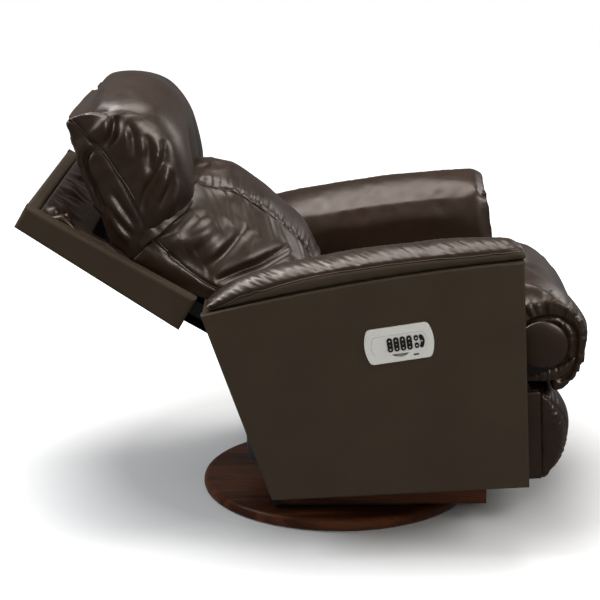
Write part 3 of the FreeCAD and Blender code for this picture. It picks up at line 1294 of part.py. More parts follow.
def main():
    os.makedirs("parts", exist_ok=True)
    build_base()
    build_chassis()
    build_arms()
    build_seat()
    build_footrest()
    build_drives()
    build_back()
    build_headrest()
    build_controls()


main()
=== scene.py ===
"""Leather power swivel rocker recliner: stuffed cushions, sewn lines, finishes and a plain studio."""
import json
import logging
import math
from dataclasses import dataclass
from enum import Enum
from typing import Dict, List, Optional, Sequence, Tuple

import bmesh
import bpy
import numpy as np
from mathutils import Matrix, Vector
from mathutils.bvhtree import BVHTree


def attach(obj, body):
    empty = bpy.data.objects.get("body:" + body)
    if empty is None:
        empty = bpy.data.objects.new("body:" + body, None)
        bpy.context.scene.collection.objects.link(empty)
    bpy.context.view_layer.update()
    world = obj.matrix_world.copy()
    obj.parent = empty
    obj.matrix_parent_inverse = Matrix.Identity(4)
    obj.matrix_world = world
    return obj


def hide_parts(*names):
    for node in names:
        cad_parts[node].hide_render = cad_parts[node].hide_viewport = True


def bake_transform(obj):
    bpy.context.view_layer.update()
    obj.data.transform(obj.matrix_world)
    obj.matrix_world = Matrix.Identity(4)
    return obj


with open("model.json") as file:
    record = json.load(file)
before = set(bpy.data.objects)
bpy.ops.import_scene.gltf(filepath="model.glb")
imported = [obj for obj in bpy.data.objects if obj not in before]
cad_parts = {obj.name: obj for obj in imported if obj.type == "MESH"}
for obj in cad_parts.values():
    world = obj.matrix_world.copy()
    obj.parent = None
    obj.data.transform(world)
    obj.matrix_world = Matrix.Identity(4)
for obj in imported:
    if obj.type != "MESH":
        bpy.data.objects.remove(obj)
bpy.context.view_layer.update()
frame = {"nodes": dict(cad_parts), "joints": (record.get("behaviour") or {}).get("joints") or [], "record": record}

LOG = logging.getLogger("recliner")

Point = Tuple[float, float, float]
Colour = Tuple[float, float, float]
Line = Sequence[Point]
Rows = np.ndarray
Obj = bpy.types.Object
Drawing = bmesh.types.BMesh
Socket = bpy.types.NodeSocket
NodeTree = bpy.types.NodeTree
Values = Dict[str, object]

# Rounds of evening out a laid line, and the radius of a welt in metres
EVEN_ROUNDS = 4
WELT_RADIUS = 0.0016
# How far rubbing lowers and raises a finish's roughness
POLISHED, DULLED = 0.05, 0.07


class Slot(Enum):
    """Material slots of the record."""

    CUSHION = "cushion_leather"
    PANEL = "panel_leather"
    STAINED = "stained_wood"
    FRAME = "frame_wood"
    BEARING = "bearing_steel"
    BLACK_STEEL = "black_steel"
    DRIVE = "drive_plastic"
    GREY = "grey_plastic"
    KEY = "key_plastic"
    CLOTH = "black_cloth"


class Side(Enum):
    """Which side of a sewn line gathers, or which side of the chair a piece is on."""

    RIGHT = -1
    BOTH = 0
    LEFT = 1


# Frames

@dataclass(frozen=True)
class LocalFrame:
    """A frame turned in the chair's side plane, measured in millimetres.

    Attributes:
        joint: joint whose pivot fixes the frame.
        turn: angle of the frame's x axis above the world's, in degrees.
        home: the pivot's own place in the frame.
    """

    joint: str
    turn: float
    home: Point = (0.0, 0.0, 0.0)

    def _pivot(self) -> Rows:
        """The joint's place in the side plane, in world millimetres."""
        spec = next(j for j in frame["joints"] if j["name"] == self.joint)
        return np.array([spec["pos_m"][0], 0.0, spec["pos_m"][2]]) * 1000

    def turned(self, vectors: Rows, back: bool = False) -> Rows:
        """Turns directions into the frame, or back out of it.

        Args:
            vectors: rows of x, y, z.
            back: True to go from the frame to the world.

        Returns:
            The turned rows.
        """
        angle = math.radians(self.turn if not back else -self.turn)
        c, s = math.cos(angle), math.sin(angle)
        out = np.array(vectors, float)
        x, z = out[:, 0].copy(), out[:, 2].copy()
        out[:, 0] = x * c + z * s
        out[:, 2] = z * c - x * s
        return out

    def to_local(self, points: Rows) -> Rows:
        """Rows of world metres to rows of local millimetres."""
        return self.turned(np.array(points, float) * 1000 - self._pivot()) + np.array(self.home)

    def to_world(self, points: Rows) -> Rows:
        """Rows of local millimetres to rows of world metres."""
        return (self.turned(np.array(points, float) - np.array(self.home), back=True) + self._pivot()) / 1000


LEVEL = LocalFrame("rock", 3.05, (-28.0, 0.0, 823.9))
BACK = LocalFrame("back_recline", 60.2)
HEAD = LocalFrame("head_tilt", 18.4)


# Sewn surfaces

def ripple(along: Rows, pitch: float, seed: int) -> Rows:
    """Uneven waves along a line.

    Args:
        along: distances along the line.
        pitch: mean distance between crests.
        seed: picks the pattern.

    Returns:
        Heights between about -1 and 1.
    """
    rng = np.random.RandomState(seed)
    out = np.zeros_like(along)
    for stretch, weight in ((1.0, 0.5), (0.62, 0.28), (1.73, 0.34)):
        phase = rng.uniform(0, 2 * math.pi)
        drift = 0.9 * np.sin(along * 2 * math.pi / (pitch * rng.uniform(5.0, 8.0)) + rng.uniform(0, 6))
        out += weight * np.sin(along * 2 * math.pi / (pitch * stretch) + phase + drift)
    return out


def smooth_line(points: Line, steps: int = 6) -> Rows:
    """Points along a Catmull-Rom curve through a line's points.

    Args:
        points: the line's points.
        steps: divisions per span.

    Returns:
        Rows of points.
    """
    p = np.array(points, float)
    if len(p) < 3:
        return p
    ends = np.vstack([2 * p[0] - p[1], p, 2 * p[-1] - p[-2]])
    rows: List[Rows] = []
    for i in range(1, len(ends) - 2):
        a, b, c, d = ends[i - 1:i + 3]
        for k in range(steps):
            t = k / steps
            rows.append(0.5 * (2 * b + (c - a) * t + (2 * a - 5 * b + 4 * c - d) * t ** 2
                               + (3 * b - a - 3 * c + d) * t ** 3))
    rows.append(p[-1])
    return np.array(rows)


def eased(value: Rows) -> Rows:
    """A smooth step from 0 to 1."""
    step = np.clip(value, 0.0, 1.0)
    return step * step * (3 - 2 * step)


def flipped(points: Line) -> List[Point]:
    """The same line on the other side of the chair."""
    return [(x, -y, z) for x, y, z in points]


def lay_on(obj: Obj, points: Rows) -> Rows:
    """Moves the points of a line to the nearest places on a piece and evens them out.

    Args:
        obj: the piece.
        points: rows of world points along the line.

    Returns:
        Rows of world points.
    """
    bpy.context.view_layer.update()
    skin = BVHTree.FromObject(obj, bpy.context.evaluated_depsgraph_get())
    laid = np.array([skin.find_nearest(Vector(point))[0][:] for point in points])
    for _ in range(EVEN_ROUNDS):
        laid[1:-1] = (laid[:-2] + 2 * laid[1:-1] + laid[2:]) / 4
    return laid


def add_object(name: str, data: bpy.types.ID) -> Obj:
    """Adds an object to the scene.

    Args:
        name: the object's name.
        data: its mesh, curve, light or camera.

    Returns:
        The object.
    """
    obj = bpy.data.objects.new(name, data)
    bpy.context.scene.collection.objects.link(obj)
    return obj


def made_mesh(obj: Obj) -> bpy.types.Mesh:
    """The mesh that an object's modifiers or bevel make of it."""
    bpy.context.view_layer.update()
    return bpy.data.meshes.new_from_object(obj.evaluated_get(bpy.context.evaluated_depsgraph_get()))


class Surface:
    """Points and normals of a cushion in its local frame, with the height that sewing adds."""

    # How far off the surface a line may lie, and how much more each further millimetre counts
    REACH = 45.0
    STEEP = 4.0
    # Place, half-width and share of the height of a fold's two rolls, the first two in widths of the crease
    ROLLS = ((2.1, 1.6, 1.0), (-2.4, 1.9, 0.45))

    def __init__(self, points: Rows, normals: Rows) -> None:
        """Starts with no added height.

        Args:
            points: rows of local points.
            normals: rows of local normals.
        """
        self.points = points
        self.normals = normals
        self.height = np.zeros(len(points))

    def near(self, line: Line) -> Tuple[Rows, Rows, float]:
        """Where each point lies beside a line, measured along the surface.

        Args:
            line: the line's points.

        Returns:
            Distance along the line, signed distance across it and the line's length.
        """
        path = smooth_line(line)
        best = np.full(len(self.points), 1e9)
        along = np.zeros(len(self.points))
        across = np.full(len(self.points), 1e9)
        start = 0.0
        for a, b in zip(path[:-1], path[1:]):
            run = b - a
            length = float(np.linalg.norm(run))
            if length < 1e-6:
                continue
            run = run / length
            offset = self.points - a
            t = np.clip(offset @ run, 0.0, length)
            gap = offset - t[:, None] * run
            lift = np.sum(gap * self.normals, axis=1)
            flat = gap - lift[:, None] * self.normals
            apart = np.linalg.norm(flat, axis=1) + np.maximum(np.abs(lift) - self.REACH, 0.0) * self.STEEP
            closer = apart < best
            side = np.sign(np.sum(np.cross(run, self.normals) * flat, axis=1))
            best[closer] = apart[closer]
            along[closer] = (start + t)[closer]
            across[closer] = (apart * np.where(side == 0, 1, side))[closer]
            start += length
        return along, across, start

    def groove(self, line: Line, width: float, depth: float) -> None:
        """Sinks a sewn line by a depth, over a half-width."""
        _, across, _ = self.near(line)
        self.height -= depth * np.exp(-(across / width) ** 2)

    def gather(self, line: Line, pitch: float, spread: float, depth: float, seed: int,
               side: Side = Side.BOTH, lean: float = 0.0) -> None:
        """Adds the puckers that a gathered seam throws off.

        Args:
            line: the line's points.
            pitch: distance between puckers.
            spread: how far they run from the line.
            depth: their height.
            seed: picks the pattern.
            side: the side of the line that is gathered.
            lean: how much the puckers slope along the line.
        """
        along, across, total = self.near(line)
        t = np.abs(across)
        peak = spread / 3.2
        shape = (t / peak) * np.exp(1 - t / peak)
        ends = np.clip(np.minimum(along, total - along) / pitch, 0.0, 1.0)
        if side is not Side.BOTH:
            shape = shape * (np.sign(across) == side.value)
        varied = 0.65 + 0.45 * ripple(along, 6 * pitch, seed + 7)
        self.height += depth * shape * ends * varied * ripple(along + lean * t, pitch, seed)

    def fold(self, line: Line, width: float, depth: float, lip: float = 0.8) -> None:
        """Lays one soft fold: a crease with a rounded roll on each side.

        Args:
            line: the crease's points.
            width: half-width of the crease.
            depth: how deep it is.
            lip: height of the higher roll, as a share of the depth.
        """
        along, across, total = self.near(line)
        taper = np.sin(math.pi * np.clip(along / total, 0.0, 1.0)) ** 0.6
        shape = -np.exp(-(across / width) ** 2)
        for place, spread, share in self.ROLLS:
            shape += share * lip * np.exp(-((across - place * width) / (spread * width)) ** 2)
        self.height += depth * taper * shape

    def dent(self, centre: Point, radius: float, depth: float) -> None:
        """Draws the surface in round one point, or out where the depth is below 0."""
        apart = np.linalg.norm(self.points - np.array(centre), axis=1)
        self.height -= depth * np.exp(-(apart / radius) ** 2)

    def slack(self, size: float, depth: float, seed: int, mask: Optional[Rows] = None) -> None:
        """Adds broad unevenness, as of leather that lies loose.

        Args:
            size: mean width of a swell.
            depth: its height.
            seed: picks the pattern.
            mask: share of the depth at each point.
        """
        rng = np.random.RandomState(seed)
        total = np.zeros(len(self.points))
        for _ in range(9):
            way = rng.normal(size=3)
            way /= np.linalg.norm(way)
            total += np.sin(self.points @ way * 2 * math.pi / (size * rng.uniform(0.7, 1.6))
                            + rng.uniform(0, 2 * math.pi))
        total *= depth / 3.0
        self.height += total if mask is None else total * mask


# Finishes

class Graph:
    """Adds and links the nodes of one shader tree."""

    def __init__(self, tree: NodeTree) -> None:
        """Keeps the tree."""
        self.tree = tree

    def add(self, kind: str, settings: Optional[Dict[str, object]] = None, **sockets: object) -> bpy.types.Node:
        """Adds a node.

        Args:
            kind: the node's type.
            settings: its own properties.
            **sockets: values or sockets for its inputs, with _ for a space, or iN for input N.

        Returns:
            The node.
        """
        node = self.tree.nodes.new(kind)
        for name, value in (settings or {}).items():
            setattr(node, name, value)
        for name, value in sockets.items():
            numbered = name[0] == "i" and name[1:].isdigit()
            socket = node.inputs[int(name[1:]) if numbered else name.replace("_", " ")]
            if isinstance(value, Socket):
                self.tree.links.new(value, socket)
            else:
                socket.default_value = value
        return node

    def mix(self, share: object, a: object, b: object) -> Socket:
        """Mixes two colours by a share."""
        return self.add("ShaderNodeMix", {"data_type": "RGBA"}, i0=share, i6=a, i7=b).outputs[2]

    def math(self, operation: str, a: object, b: object = 0.0) -> Socket:
        """One sum of two values."""
        return self.add("ShaderNodeMath", {"operation": operation}, i0=a, i1=b).outputs[0]

    def span(self, value: object, low: float, high: float, to_low: float = 0.0,
             to_high: float = 1.0) -> Socket:
        """Maps a value from one range to another."""
        return self.add("ShaderNodeMapRange", None, Value=value, From_Min=low, From_Max=high,
                        To_Min=to_low, To_Max=to_high).outputs[0]

    def noise(self, place: Socket, scale: object, **more: float) -> Socket:
        """Noise over a place."""
        return self.add("ShaderNodeTexNoise", None, Vector=place, Scale=scale, **more).outputs[0]


class Effects:
    """The node groups that the finishes share. Each gives a share of colour, a rub and a height."""

    def __init__(self) -> None:
        """Makes every group."""
        self.groups = {"skin": self._skin(), "timber": self._timber(), "scuff": self._scuff()}

    @staticmethod
    def _start(name: str, **values: float) -> Tuple[Graph, Dict[str, Socket]]:
        """Starts a node group.

        Args:
            name: the group's name.
            **values: its value inputs.

        Returns:
            Its graph and its input sockets.
        """
        tree = bpy.data.node_groups.new(name, "ShaderNodeTree")
        tree.interface.new_socket("Vector", in_out="INPUT", socket_type="NodeSocketVector")
        for key, value in values.items():
            tree.interface.new_socket(key, in_out="INPUT", socket_type="NodeSocketFloat").default_value = value
        for key in ("Share", "Rub", "Height"):
            tree.interface.new_socket(key, in_out="OUTPUT", socket_type="NodeSocketFloat")
        graph = Graph(tree)
        return graph, {s.name: s for s in graph.add("NodeGroupInput").outputs}

    def _skin(self) -> NodeTree:
        """Leather: pebbled grain, patchy tone and worn polish.

        Returns:
            The group.
        """
        g, source = self._start("skin", Grain=700.0)
        place, grain = source["Vector"], source["Grain"]
        cells = g.add("ShaderNodeTexVoronoi", {"feature": "SMOOTH_F1"}, Vector=place, Scale=grain, Smoothness=0.4)
        pores = g.noise(place, g.math("MULTIPLY", grain, 0.35), Detail=3.0)
        cloud = g.noise(place, 7.0, Detail=4.0, Roughness=0.6)
        rub = g.noise(place, 38.0, Detail=5.0, Roughness=0.65)
        height = g.math("ADD", g.math("MULTIPLY", cells.outputs["Distance"], 0.6), pores)
        tone = g.math("ADD", g.math("MULTIPLY", cloud, 0.7), g.math("MULTIPLY", rub, 0.3))
        g.add("NodeGroupOutput", None, Share=g.span(tone, 0.3, 0.7), Rub=g.span(rub, 0.3, 0.7), Height=height)
        return g.tree

    def _timber(self) -> NodeTree:
        """Wood: long wavy figure and fine pores.

        Returns:
            The group.
        """
        g, source = self._start("timber")
        stretch = g.add("ShaderNodeVectorMath", {"operation": "MULTIPLY"}, i0=source["Vector"], i1=(0.06, 1.0, 1.0))
        along = stretch.outputs[0]
        sway = g.noise(along, 16.0, Detail=4.0, Distortion=0.6)
        pores = g.noise(along, 420.0, Detail=3.0, Roughness=0.7)
        rings = g.math("PINGPONG", g.math("MULTIPLY", sway, 7.0), 1.0)
        open_pores = g.span(pores, 0.42, 0.62)
        g.add("NodeGroupOutput", None, Share=g.math("SUBTRACT", rings, g.math("MULTIPLY", open_pores, 0.35)),
              Rub=open_pores, Height=g.math("MULTIPLY", pores, -1.0))
        return g.tree

    def _scuff(self) -> NodeTree:
        """Moulded or painted parts: speckle, dust and faint rubs.

        Returns:
            The group.
        """
        g, source = self._start("scuff", Grit=900.0)
        grit = g.noise(source["Vector"], source["Grit"], Detail=2.0)
        rub = g.noise(source["Vector"], 22.0, Detail=6.0, Roughness=0.7)
        g.add("NodeGroupOutput", None, Share=g.span(grit, 0.35, 0.65), Rub=g.span(rub, 0.35, 0.7), Height=grit)
        return g.tree


@dataclass(frozen=True)
class Finish:
    """A procedural material made of two colours and a surface.

    Attributes:
        name: the material's name.
        dark: linear colour in the low parts.
        light: linear colour in the high parts.
        roughness: mean roughness.
        relief: strength of the fine bump.
        shine: specular level.
    """

    name: str
    dark: Colour
    light: Colour
    roughness: float
    relief: float
    shine: float = 0.5

    # The shared group, and the depth of the bump in metres
    EFFECT = ""
    DEPTH = 0.0

    def _values(self) -> Tuple[Values, Values]:
        """Values for the group's inputs, and values on the shader's own sockets."""
        raise NotImplementedError

    def material(self, effects: Effects) -> bpy.types.Material:
        """Makes the material: one shared group on object coordinates, linked to the shader.

        Args:
            effects: the shared groups.

        Returns:
            The material.
        """
        material = bpy.data.materials.new(self.name)
        material.use_nodes = True
        tree = material.node_tree
        graph, shader = Graph(tree), tree.nodes["Principled BSDF"]
        inputs, constants = self._values()
        group = graph.add("ShaderNodeGroup", {"node_tree": effects.groups[self.EFFECT]},
                          Vector=graph.add("ShaderNodeTexCoord").outputs["Object"], **inputs).outputs
        colour = graph.mix(group["Share"], (*self.dark, 1.0), (*self.light, 1.0))
        rough = graph.span(group["Rub"], 0.0, 1.0, self.roughness - POLISHED, self.roughness + DULLED)
        bump = graph.add("ShaderNodeBump", None, Strength=self.relief, Distance=self.DEPTH, Height=group["Height"])
        for name, socket in (("Base Color", colour), ("Roughness", rough), ("Normal", bump.outputs[0])):
            tree.links.new(socket, shader.inputs[name])
        for name, value in {"Specular IOR Level": self.shine, **constants}.items():
            shader.inputs[name].default_value = value
        return material


@dataclass(frozen=True)
class Leather(Finish):
    """Leather, whose warm dye also tints its sheen."""

    tint: Colour = (1.0, 0.89, 0.82)
    grain: float = 700.0

    EFFECT, DEPTH = "skin", 0.0006

    def _values(self) -> Tuple[Values, Values]:
        """The grain, and the tinted sheen."""
        return {"Grain": self.grain}, {"Specular Tint": (*self.tint, 1.0)}


@dataclass(frozen=True)
class Wood(Finish):
    """Wood, with lacquer where it is stained."""

    lacquer: float = 0.0

    EFFECT, DEPTH = "timber", 0.0004

    def _values(self) -> Tuple[Values, Values]:
        """The lacquer."""
        return {}, {"Coat Weight": self.lacquer, "Coat Roughness": 0.18}


@dataclass(frozen=True)
class Moulded(Finish):
    """Plastic, paint, metal or cloth with a fine grit."""

    metallic: float = 0.0
    grit: float = 900.0

    EFFECT, DEPTH = "scuff", 0.0003

    def _values(self) -> Tuple[Values, Values]:
        """The grit, and whether it is metal."""
        return {"Grit": self.grit}, {"Metallic": self.metallic}


FINISHES: Dict[Slot, Finish] = {
    Slot.CUSHION: Leather("cushion_leather", (0.0125, 0.0056, 0.0026), (0.0205, 0.0096, 0.0045), 0.36, 0.06),
    Slot.PANEL: Leather("panel_leather", (0.031, 0.0222, 0.0142), (0.038, 0.0272, 0.0176), 0.5, 0.08,
                        shine=0.1, grain=900.0),
    Slot.STAINED: Wood("stained_wood", (0.034, 0.0105, 0.0042), (0.092, 0.031, 0.0125), 0.38, 0.12,
                       shine=0.08, lacquer=0.05),
    Slot.FRAME: Wood("frame_wood", (0.085, 0.050, 0.026), (0.13, 0.080, 0.044), 0.6, 0.15, shine=0.2),
    Slot.BEARING: Moulded("bearing_steel", (0.42, 0.42, 0.43), (0.56, 0.56, 0.57), 0.32, 0.05, metallic=1.0),
    Slot.BLACK_STEEL: Moulded("black_steel", (0.007, 0.007, 0.008), (0.013, 0.013, 0.013), 0.62, 0.08, shine=0.1),
    Slot.DRIVE: Moulded("drive_plastic", (0.014, 0.014, 0.015), (0.024, 0.024, 0.025), 0.5, 0.1, grit=1400.0),
    Slot.GREY: Moulded("grey_plastic", (0.46, 0.455, 0.425), (0.51, 0.505, 0.475), 0.45, 0.06, grit=1600.0),
    Slot.KEY: Moulded("key_plastic", (0.006, 0.006, 0.0065), (0.010, 0.010, 0.011), 0.38, 0.06,
                      shine=0.25, grit=1600.0),
    # Black cloth of the frame's own cloth parts; on the seat apron the same dark cloth is painted shade.
    Slot.CLOTH: Moulded("black_cloth", (0.005, 0.0046, 0.0042), (0.010, 0.0092, 0.0084), 0.9, 0.4,
                        shine=0.05, grit=1100.0),
}


class Palette:
    """Makes each finish once and dresses pieces with it."""

    def __init__(self) -> None:
        """Makes every material."""
        effects = Effects()
        self.materials = {slot: finish.material(effects) for slot, finish in FINISHES.items()}

    def dress(self, obj: Obj, slot: Slot) -> None:
        """Gives a piece one finish in every slot it has.

        Args:
            obj: the piece.
            slot: the finish's slot.
        """
        if not obj.material_slots:
            obj.data.materials.append(self.materials[slot])
        for place in obj.material_slots:
            place.material = self.materials[slot]

    def hang(self, obj: Obj, slot: Slot, body: str) -> None:
        """Dresses a piece and hangs it on its body.

        Args:
            obj: the piece.
            slot: its finish's slot.
            body: the body that it rides on.
        """
        self.dress(obj, slot)
        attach(obj, body)
        LOG.info("%s: %d points, %s", obj.name, len(obj.data.vertices), body)

    def dress_frame(self) -> None:
        """Dresses every CAD node by the record's slots."""
        for part in frame["record"]["subparts"]:
            self.dress(frame["nodes"][part["node"]], Slot(part["material_slot"]))


# Cushions

@dataclass
class SoftPiece:
    """A stuffed leather piece that is grown from its CAD solid.

    Attributes:
        name: the piece's name.
        node: the CAD solid that it stands for.
        body: the body that it rides on.
        local: the frame that its sewing is measured in.
        cap: most that stuffing moves a point, in metres.
        inset: how far the leather is drawn in before it is stuffed, in metres.
        voxel: size of its mesh before it is divided, in metres.
        pressure: air pressure of the stuffing.
        growth: share that the leather is cut oversize.
        fill: how full it is, from 0 to 1; not used.
        stiffness: how hard the leather is to bend.
        fair: how often the stuffed skin is smoothed.
    """

    name: str
    node: str
    body: str
    local: LocalFrame
    cap: float
    inset: float
    voxel: float = 0.007
    pressure: float = 4.0
    growth: float = 0.012
    fill: float = 0.7
    stiffness: float = 4.0
    fair: int = 8

    # Settings of the stuffing's cloth, and how many frames it runs
    CLOTH = {"quality": 5, "mass": 0.3, "tension_stiffness": 18.0, "compression_stiffness": 18.0,
             "shear_stiffness": 9.0, "use_pressure": True, "vertex_group_mass": "held"}
    FRAMES = 20

    def held(self, local: Rows) -> Rows:
        """True for each local point where the leather is nailed down or sewn to its backing."""
        raise NotImplementedError

    def sew(self, surface: Surface) -> None:
        """Adds seams, gathers and folds."""
        raise NotImplementedError

    def sag(self, local: Rows) -> Rows:
        """How far the stuffing lets each point sink, in the local frame."""
        return np.zeros_like(local)

    def welts(self) -> List[Line]:
        """Lines of the seams that show a welt."""
        return []

    def _lay_welts(self, obj: Obj, palette: Palette) -> None:
        """Lays a thin welt along each seam, half sunk in the finished surface.

        Args:
            obj: the finished piece.
            palette: the finishes.
        """
        name = self.name + "_welts"
        data = bpy.data.curves.new(name, "CURVE")
        data.dimensions = "3D"
        data.bevel_depth, data.bevel_resolution = WELT_RADIUS, 2
        data.use_fill_caps = True
        for line in self.welts():
            laid = lay_on(obj, self.local.to_world(smooth_line(line, 12)))
            spline = data.splines.new("POLY")
            spline.points.add(len(laid) - 1)
            for place, point in zip(spline.points, laid):
                place.co = (*point, 1.0)
        curve = add_object(name, data)
        mesh = made_mesh(curve)
        bpy.data.objects.remove(curve)
        mesh.shade_smooth()
        palette.hang(add_object(name, mesh), Slot.CUSHION, self.body)

    def _points(self, obj: Obj) -> Tuple[Rows, Rows]:
        """World points and normals of a mesh.

        Args:
            obj: the piece.

        Returns:
            Rows of points and rows of normals.
        """
        count = len(obj.data.vertices)
        points, normals = np.zeros(count * 3), np.zeros(count * 3)
        obj.data.vertices.foreach_get("co", points)
        obj.data.vertices.foreach_get("normal", normals)
        return points.reshape(-1, 3), normals.reshape(-1, 3)

    def _move(self, obj: Obj, points: Rows) -> None:
        """Puts a mesh's points at new places."""
        obj.data.vertices.foreach_set("co", np.ascontiguousarray(points).reshape(-1))
        obj.data.update()

    def _bake(self, obj: Obj) -> None:
        """Turns the modifiers' result into the mesh.

        Args:
            obj: the piece.
        """
        mesh = made_mesh(obj)
        obj.modifiers.clear()
        old, obj.data = obj.data, mesh
        bpy.data.meshes.remove(old)

    def _copy(self) -> Obj:
        """Copies the solid as one even skin.

        Returns:
            The new piece.
        """
        mesh = frame["nodes"][self.node].data.copy()
        bm = bmesh.new()
        bm.from_mesh(mesh)
        bmesh.ops.remove_doubles(bm, verts=bm.verts, dist=0.0001)
        bmesh.ops.recalc_face_normals(bm, faces=bm.faces)
        bm.to_mesh(mesh)
        bm.free()
        mesh.materials.clear()
        obj = add_object(self.name, mesh)
        skin = obj.modifiers.new("skin", "REMESH")
        skin.mode = "VOXEL"
        skin.voxel_size = self.voxel
        self._bake(obj)
        return obj

    def _stuff(self, obj: Obj) -> None:
        """Blows the skin up against its held points, then limits how far it went.

        Args:
            obj: the piece.
        """
        points, normals = self._points(obj)
        held = self.held(self.local.to_local(points))
        start = points - normals * self.inset * (~held)[:, None]
        self._move(obj, start)
        group = obj.vertex_groups.new(name="held")
        group.add([int(i) for i in np.nonzero(held)[0]], 1.0, "REPLACE")
        cloth = obj.modifiers.new("stuffing", "CLOTH")
        for name, value in self.CLOTH.items():
            setattr(cloth.settings, name, value)
        cloth.settings.bending_stiffness = self.stiffness
        cloth.settings.uniform_pressure_force = self.pressure
        cloth.settings.shrink_min = -self.growth
        cloth.settings.effector_weights.gravity = 0.0
        cloth.collision_settings.use_collision = False
        cloth.point_cache.frame_start, cloth.point_cache.frame_end = 1, self.FRAMES
        for step in range(1, self.FRAMES + 1):
            bpy.context.scene.frame_set(step)
        self._bake(obj)
        bpy.context.scene.frame_set(1)
        after, _ = self._points(obj)
        move = after - points
        far = np.linalg.norm(move, axis=1)
        limit = np.minimum(1.0, self.cap / np.maximum(far, 1e-9))
        self._move(obj, points + move * limit[:, None])

    def _divide(self, obj: Obj) -> None:
        """Smooths the skin and divides it once.

        Args:
            obj: the piece.
        """
        obj.modifiers.new("fair", "SMOOTH").iterations = self.fair
        fine = obj.modifiers.new("fine", "SUBSURF")
        fine.levels = fine.render_levels = 1
        self._bake(obj)

    def build(self, palette: Palette) -> Obj:
        """Args:
            palette: the finishes.

        Returns:
            The piece.
        """
        obj = self._copy()
        self._stuff(obj)
        self._divide(obj)
        points, normals = self._points(obj)
        surface = Surface(self.local.to_local(points), self.local.turned(normals))
        self.sew(surface)
        sunk = self.local.turned(self.sag(surface.points), back=True)
        self._move(obj, points + (normals * surface.height[:, None] + sunk) / 1000)
        obj.vertex_groups.clear()
        obj.data.shade_smooth()
        palette.hang(obj, Slot.CUSHION, self.body)
        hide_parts(self.node)
        if self.welts():
            self._lay_welts(obj, palette)
        return obj


@dataclass
class HeadPillow(SoftPiece):
    """Headrest pillow: a smooth dome with boxed ends, gathered into its lower corners."""

    # How the top edge sinks and the chin hangs; front, half-width and top of the plate inside
    SINK = (8.0, 0.0, -30.0)
    HANG = (0.0, 0.0, -54.0)
    PLATE = (66.0, 234.0, 276.0)
    # Sewn lines on the right
    BOXING = ((25, -286, 283), (38, -286, 268), (52, -286, 231), (71, -286, 195), (82, -286, 149),
              (92, -286, 111), (99, -285, 76), (96, -275, 42))
    EAR = ((120, -274, 258), (114, -281, 240), (99, -286, 218), (75, -286, 200))
    VALLEY = ((30, -232, 288), (85, -249, 287), (112, -266, 270), (119, -277, 250))
    RIDGES = (((136, -272, 236), (137, -277, 200), (129, -282, 162)),
              ((160, -266, 200), (160, -271, 165), (144, -278, 118)),
              ((190, -246, 176), (186, -255, 150), (168, -267, 122)))
    END = ((58, -286, 208), (38, -286, 200), (24, -286, 178), (27, -286, 122), (30, -286, 84))
    LOWER = (((60, -286, 128), (70, -286, 104), (82, -285, 78)),
             ((44, -286, 110), (56, -286, 88), (70, -285, 66)),
             ((178, -258, 142), (152, -268, 122), (124, -278, 112), (102, -283, 92)),
             ((188, -250, 122), (168, -258, 106), (138, -270, 92)))
    CORNER = ((22, -286, 285),)

    def held(self, local: Rows) -> Rows:
        """The back of the pillow is stapled to its plate."""
        return (local[:, 0] < 40.0) & (np.abs(local[:, 1]) < 215.0)

    def sag(self, local: Rows) -> Rows:
        """The top edge sinks behind the dome, and the chin hangs down to the back cushion.

        Args:
            local: rows of local points.

        Returns:
            Rows of offsets.
        """
        x, y, z = local[:, 0], np.abs(local[:, 1]), local[:, 2]
        front, half, ceiling = self.PLATE
        top = eased((100 - x) / 80) * eased((264 - y) / 70) * eased((z - 190) / 100)
        room = np.clip((z - ceiling) / 30, 0.0, 1.0)
        over_plate = eased((half - y) / 16) * eased((front - x) / 16)
        top = np.minimum(top, 1 - (1 - room) * over_plate)
        chin = eased((x - 10) / 50) * eased((155 - z) / 95) * (0.45 + 0.55 * eased((y - 60) / 140))
        return np.outer(top, self.SINK) + np.outer(chin, self.HANG)

    def welts(self) -> List[Line]:
        """The boxed ends are welted."""
        return [self.BOXING, flipped(self.BOXING)]

    def sew(self, surface: Surface) -> None:
        """Boxed ends, ear creases and the folds under the dome.

        Args:
            surface: the cushion's skin.
        """
        for turn in (list, flipped):
            surface.groove(turn(self.BOXING), width=3.5, depth=4.0)
            surface.gather(turn(self.BOXING), pitch=34.0, spread=70.0, depth=2.4, seed=3)
            surface.groove(turn(self.VALLEY), width=22.0, depth=8.0)
            surface.fold(turn(self.EAR), width=10.0, depth=13.0)
            for i, ridge in enumerate(self.RIDGES):
                surface.fold(turn(ridge), width=9.0, depth=5.5 - 0.4 * i)
            surface.fold(turn(self.END), width=6.0, depth=12.0)
            for crease in self.LOWER:
                surface.fold(turn(crease), width=6.5, depth=8.0)
            surface.dent(turn(self.CORNER)[0], radius=17.0, depth=-15.0)
        surface.slack(size=170.0, depth=1.6, seed=11)


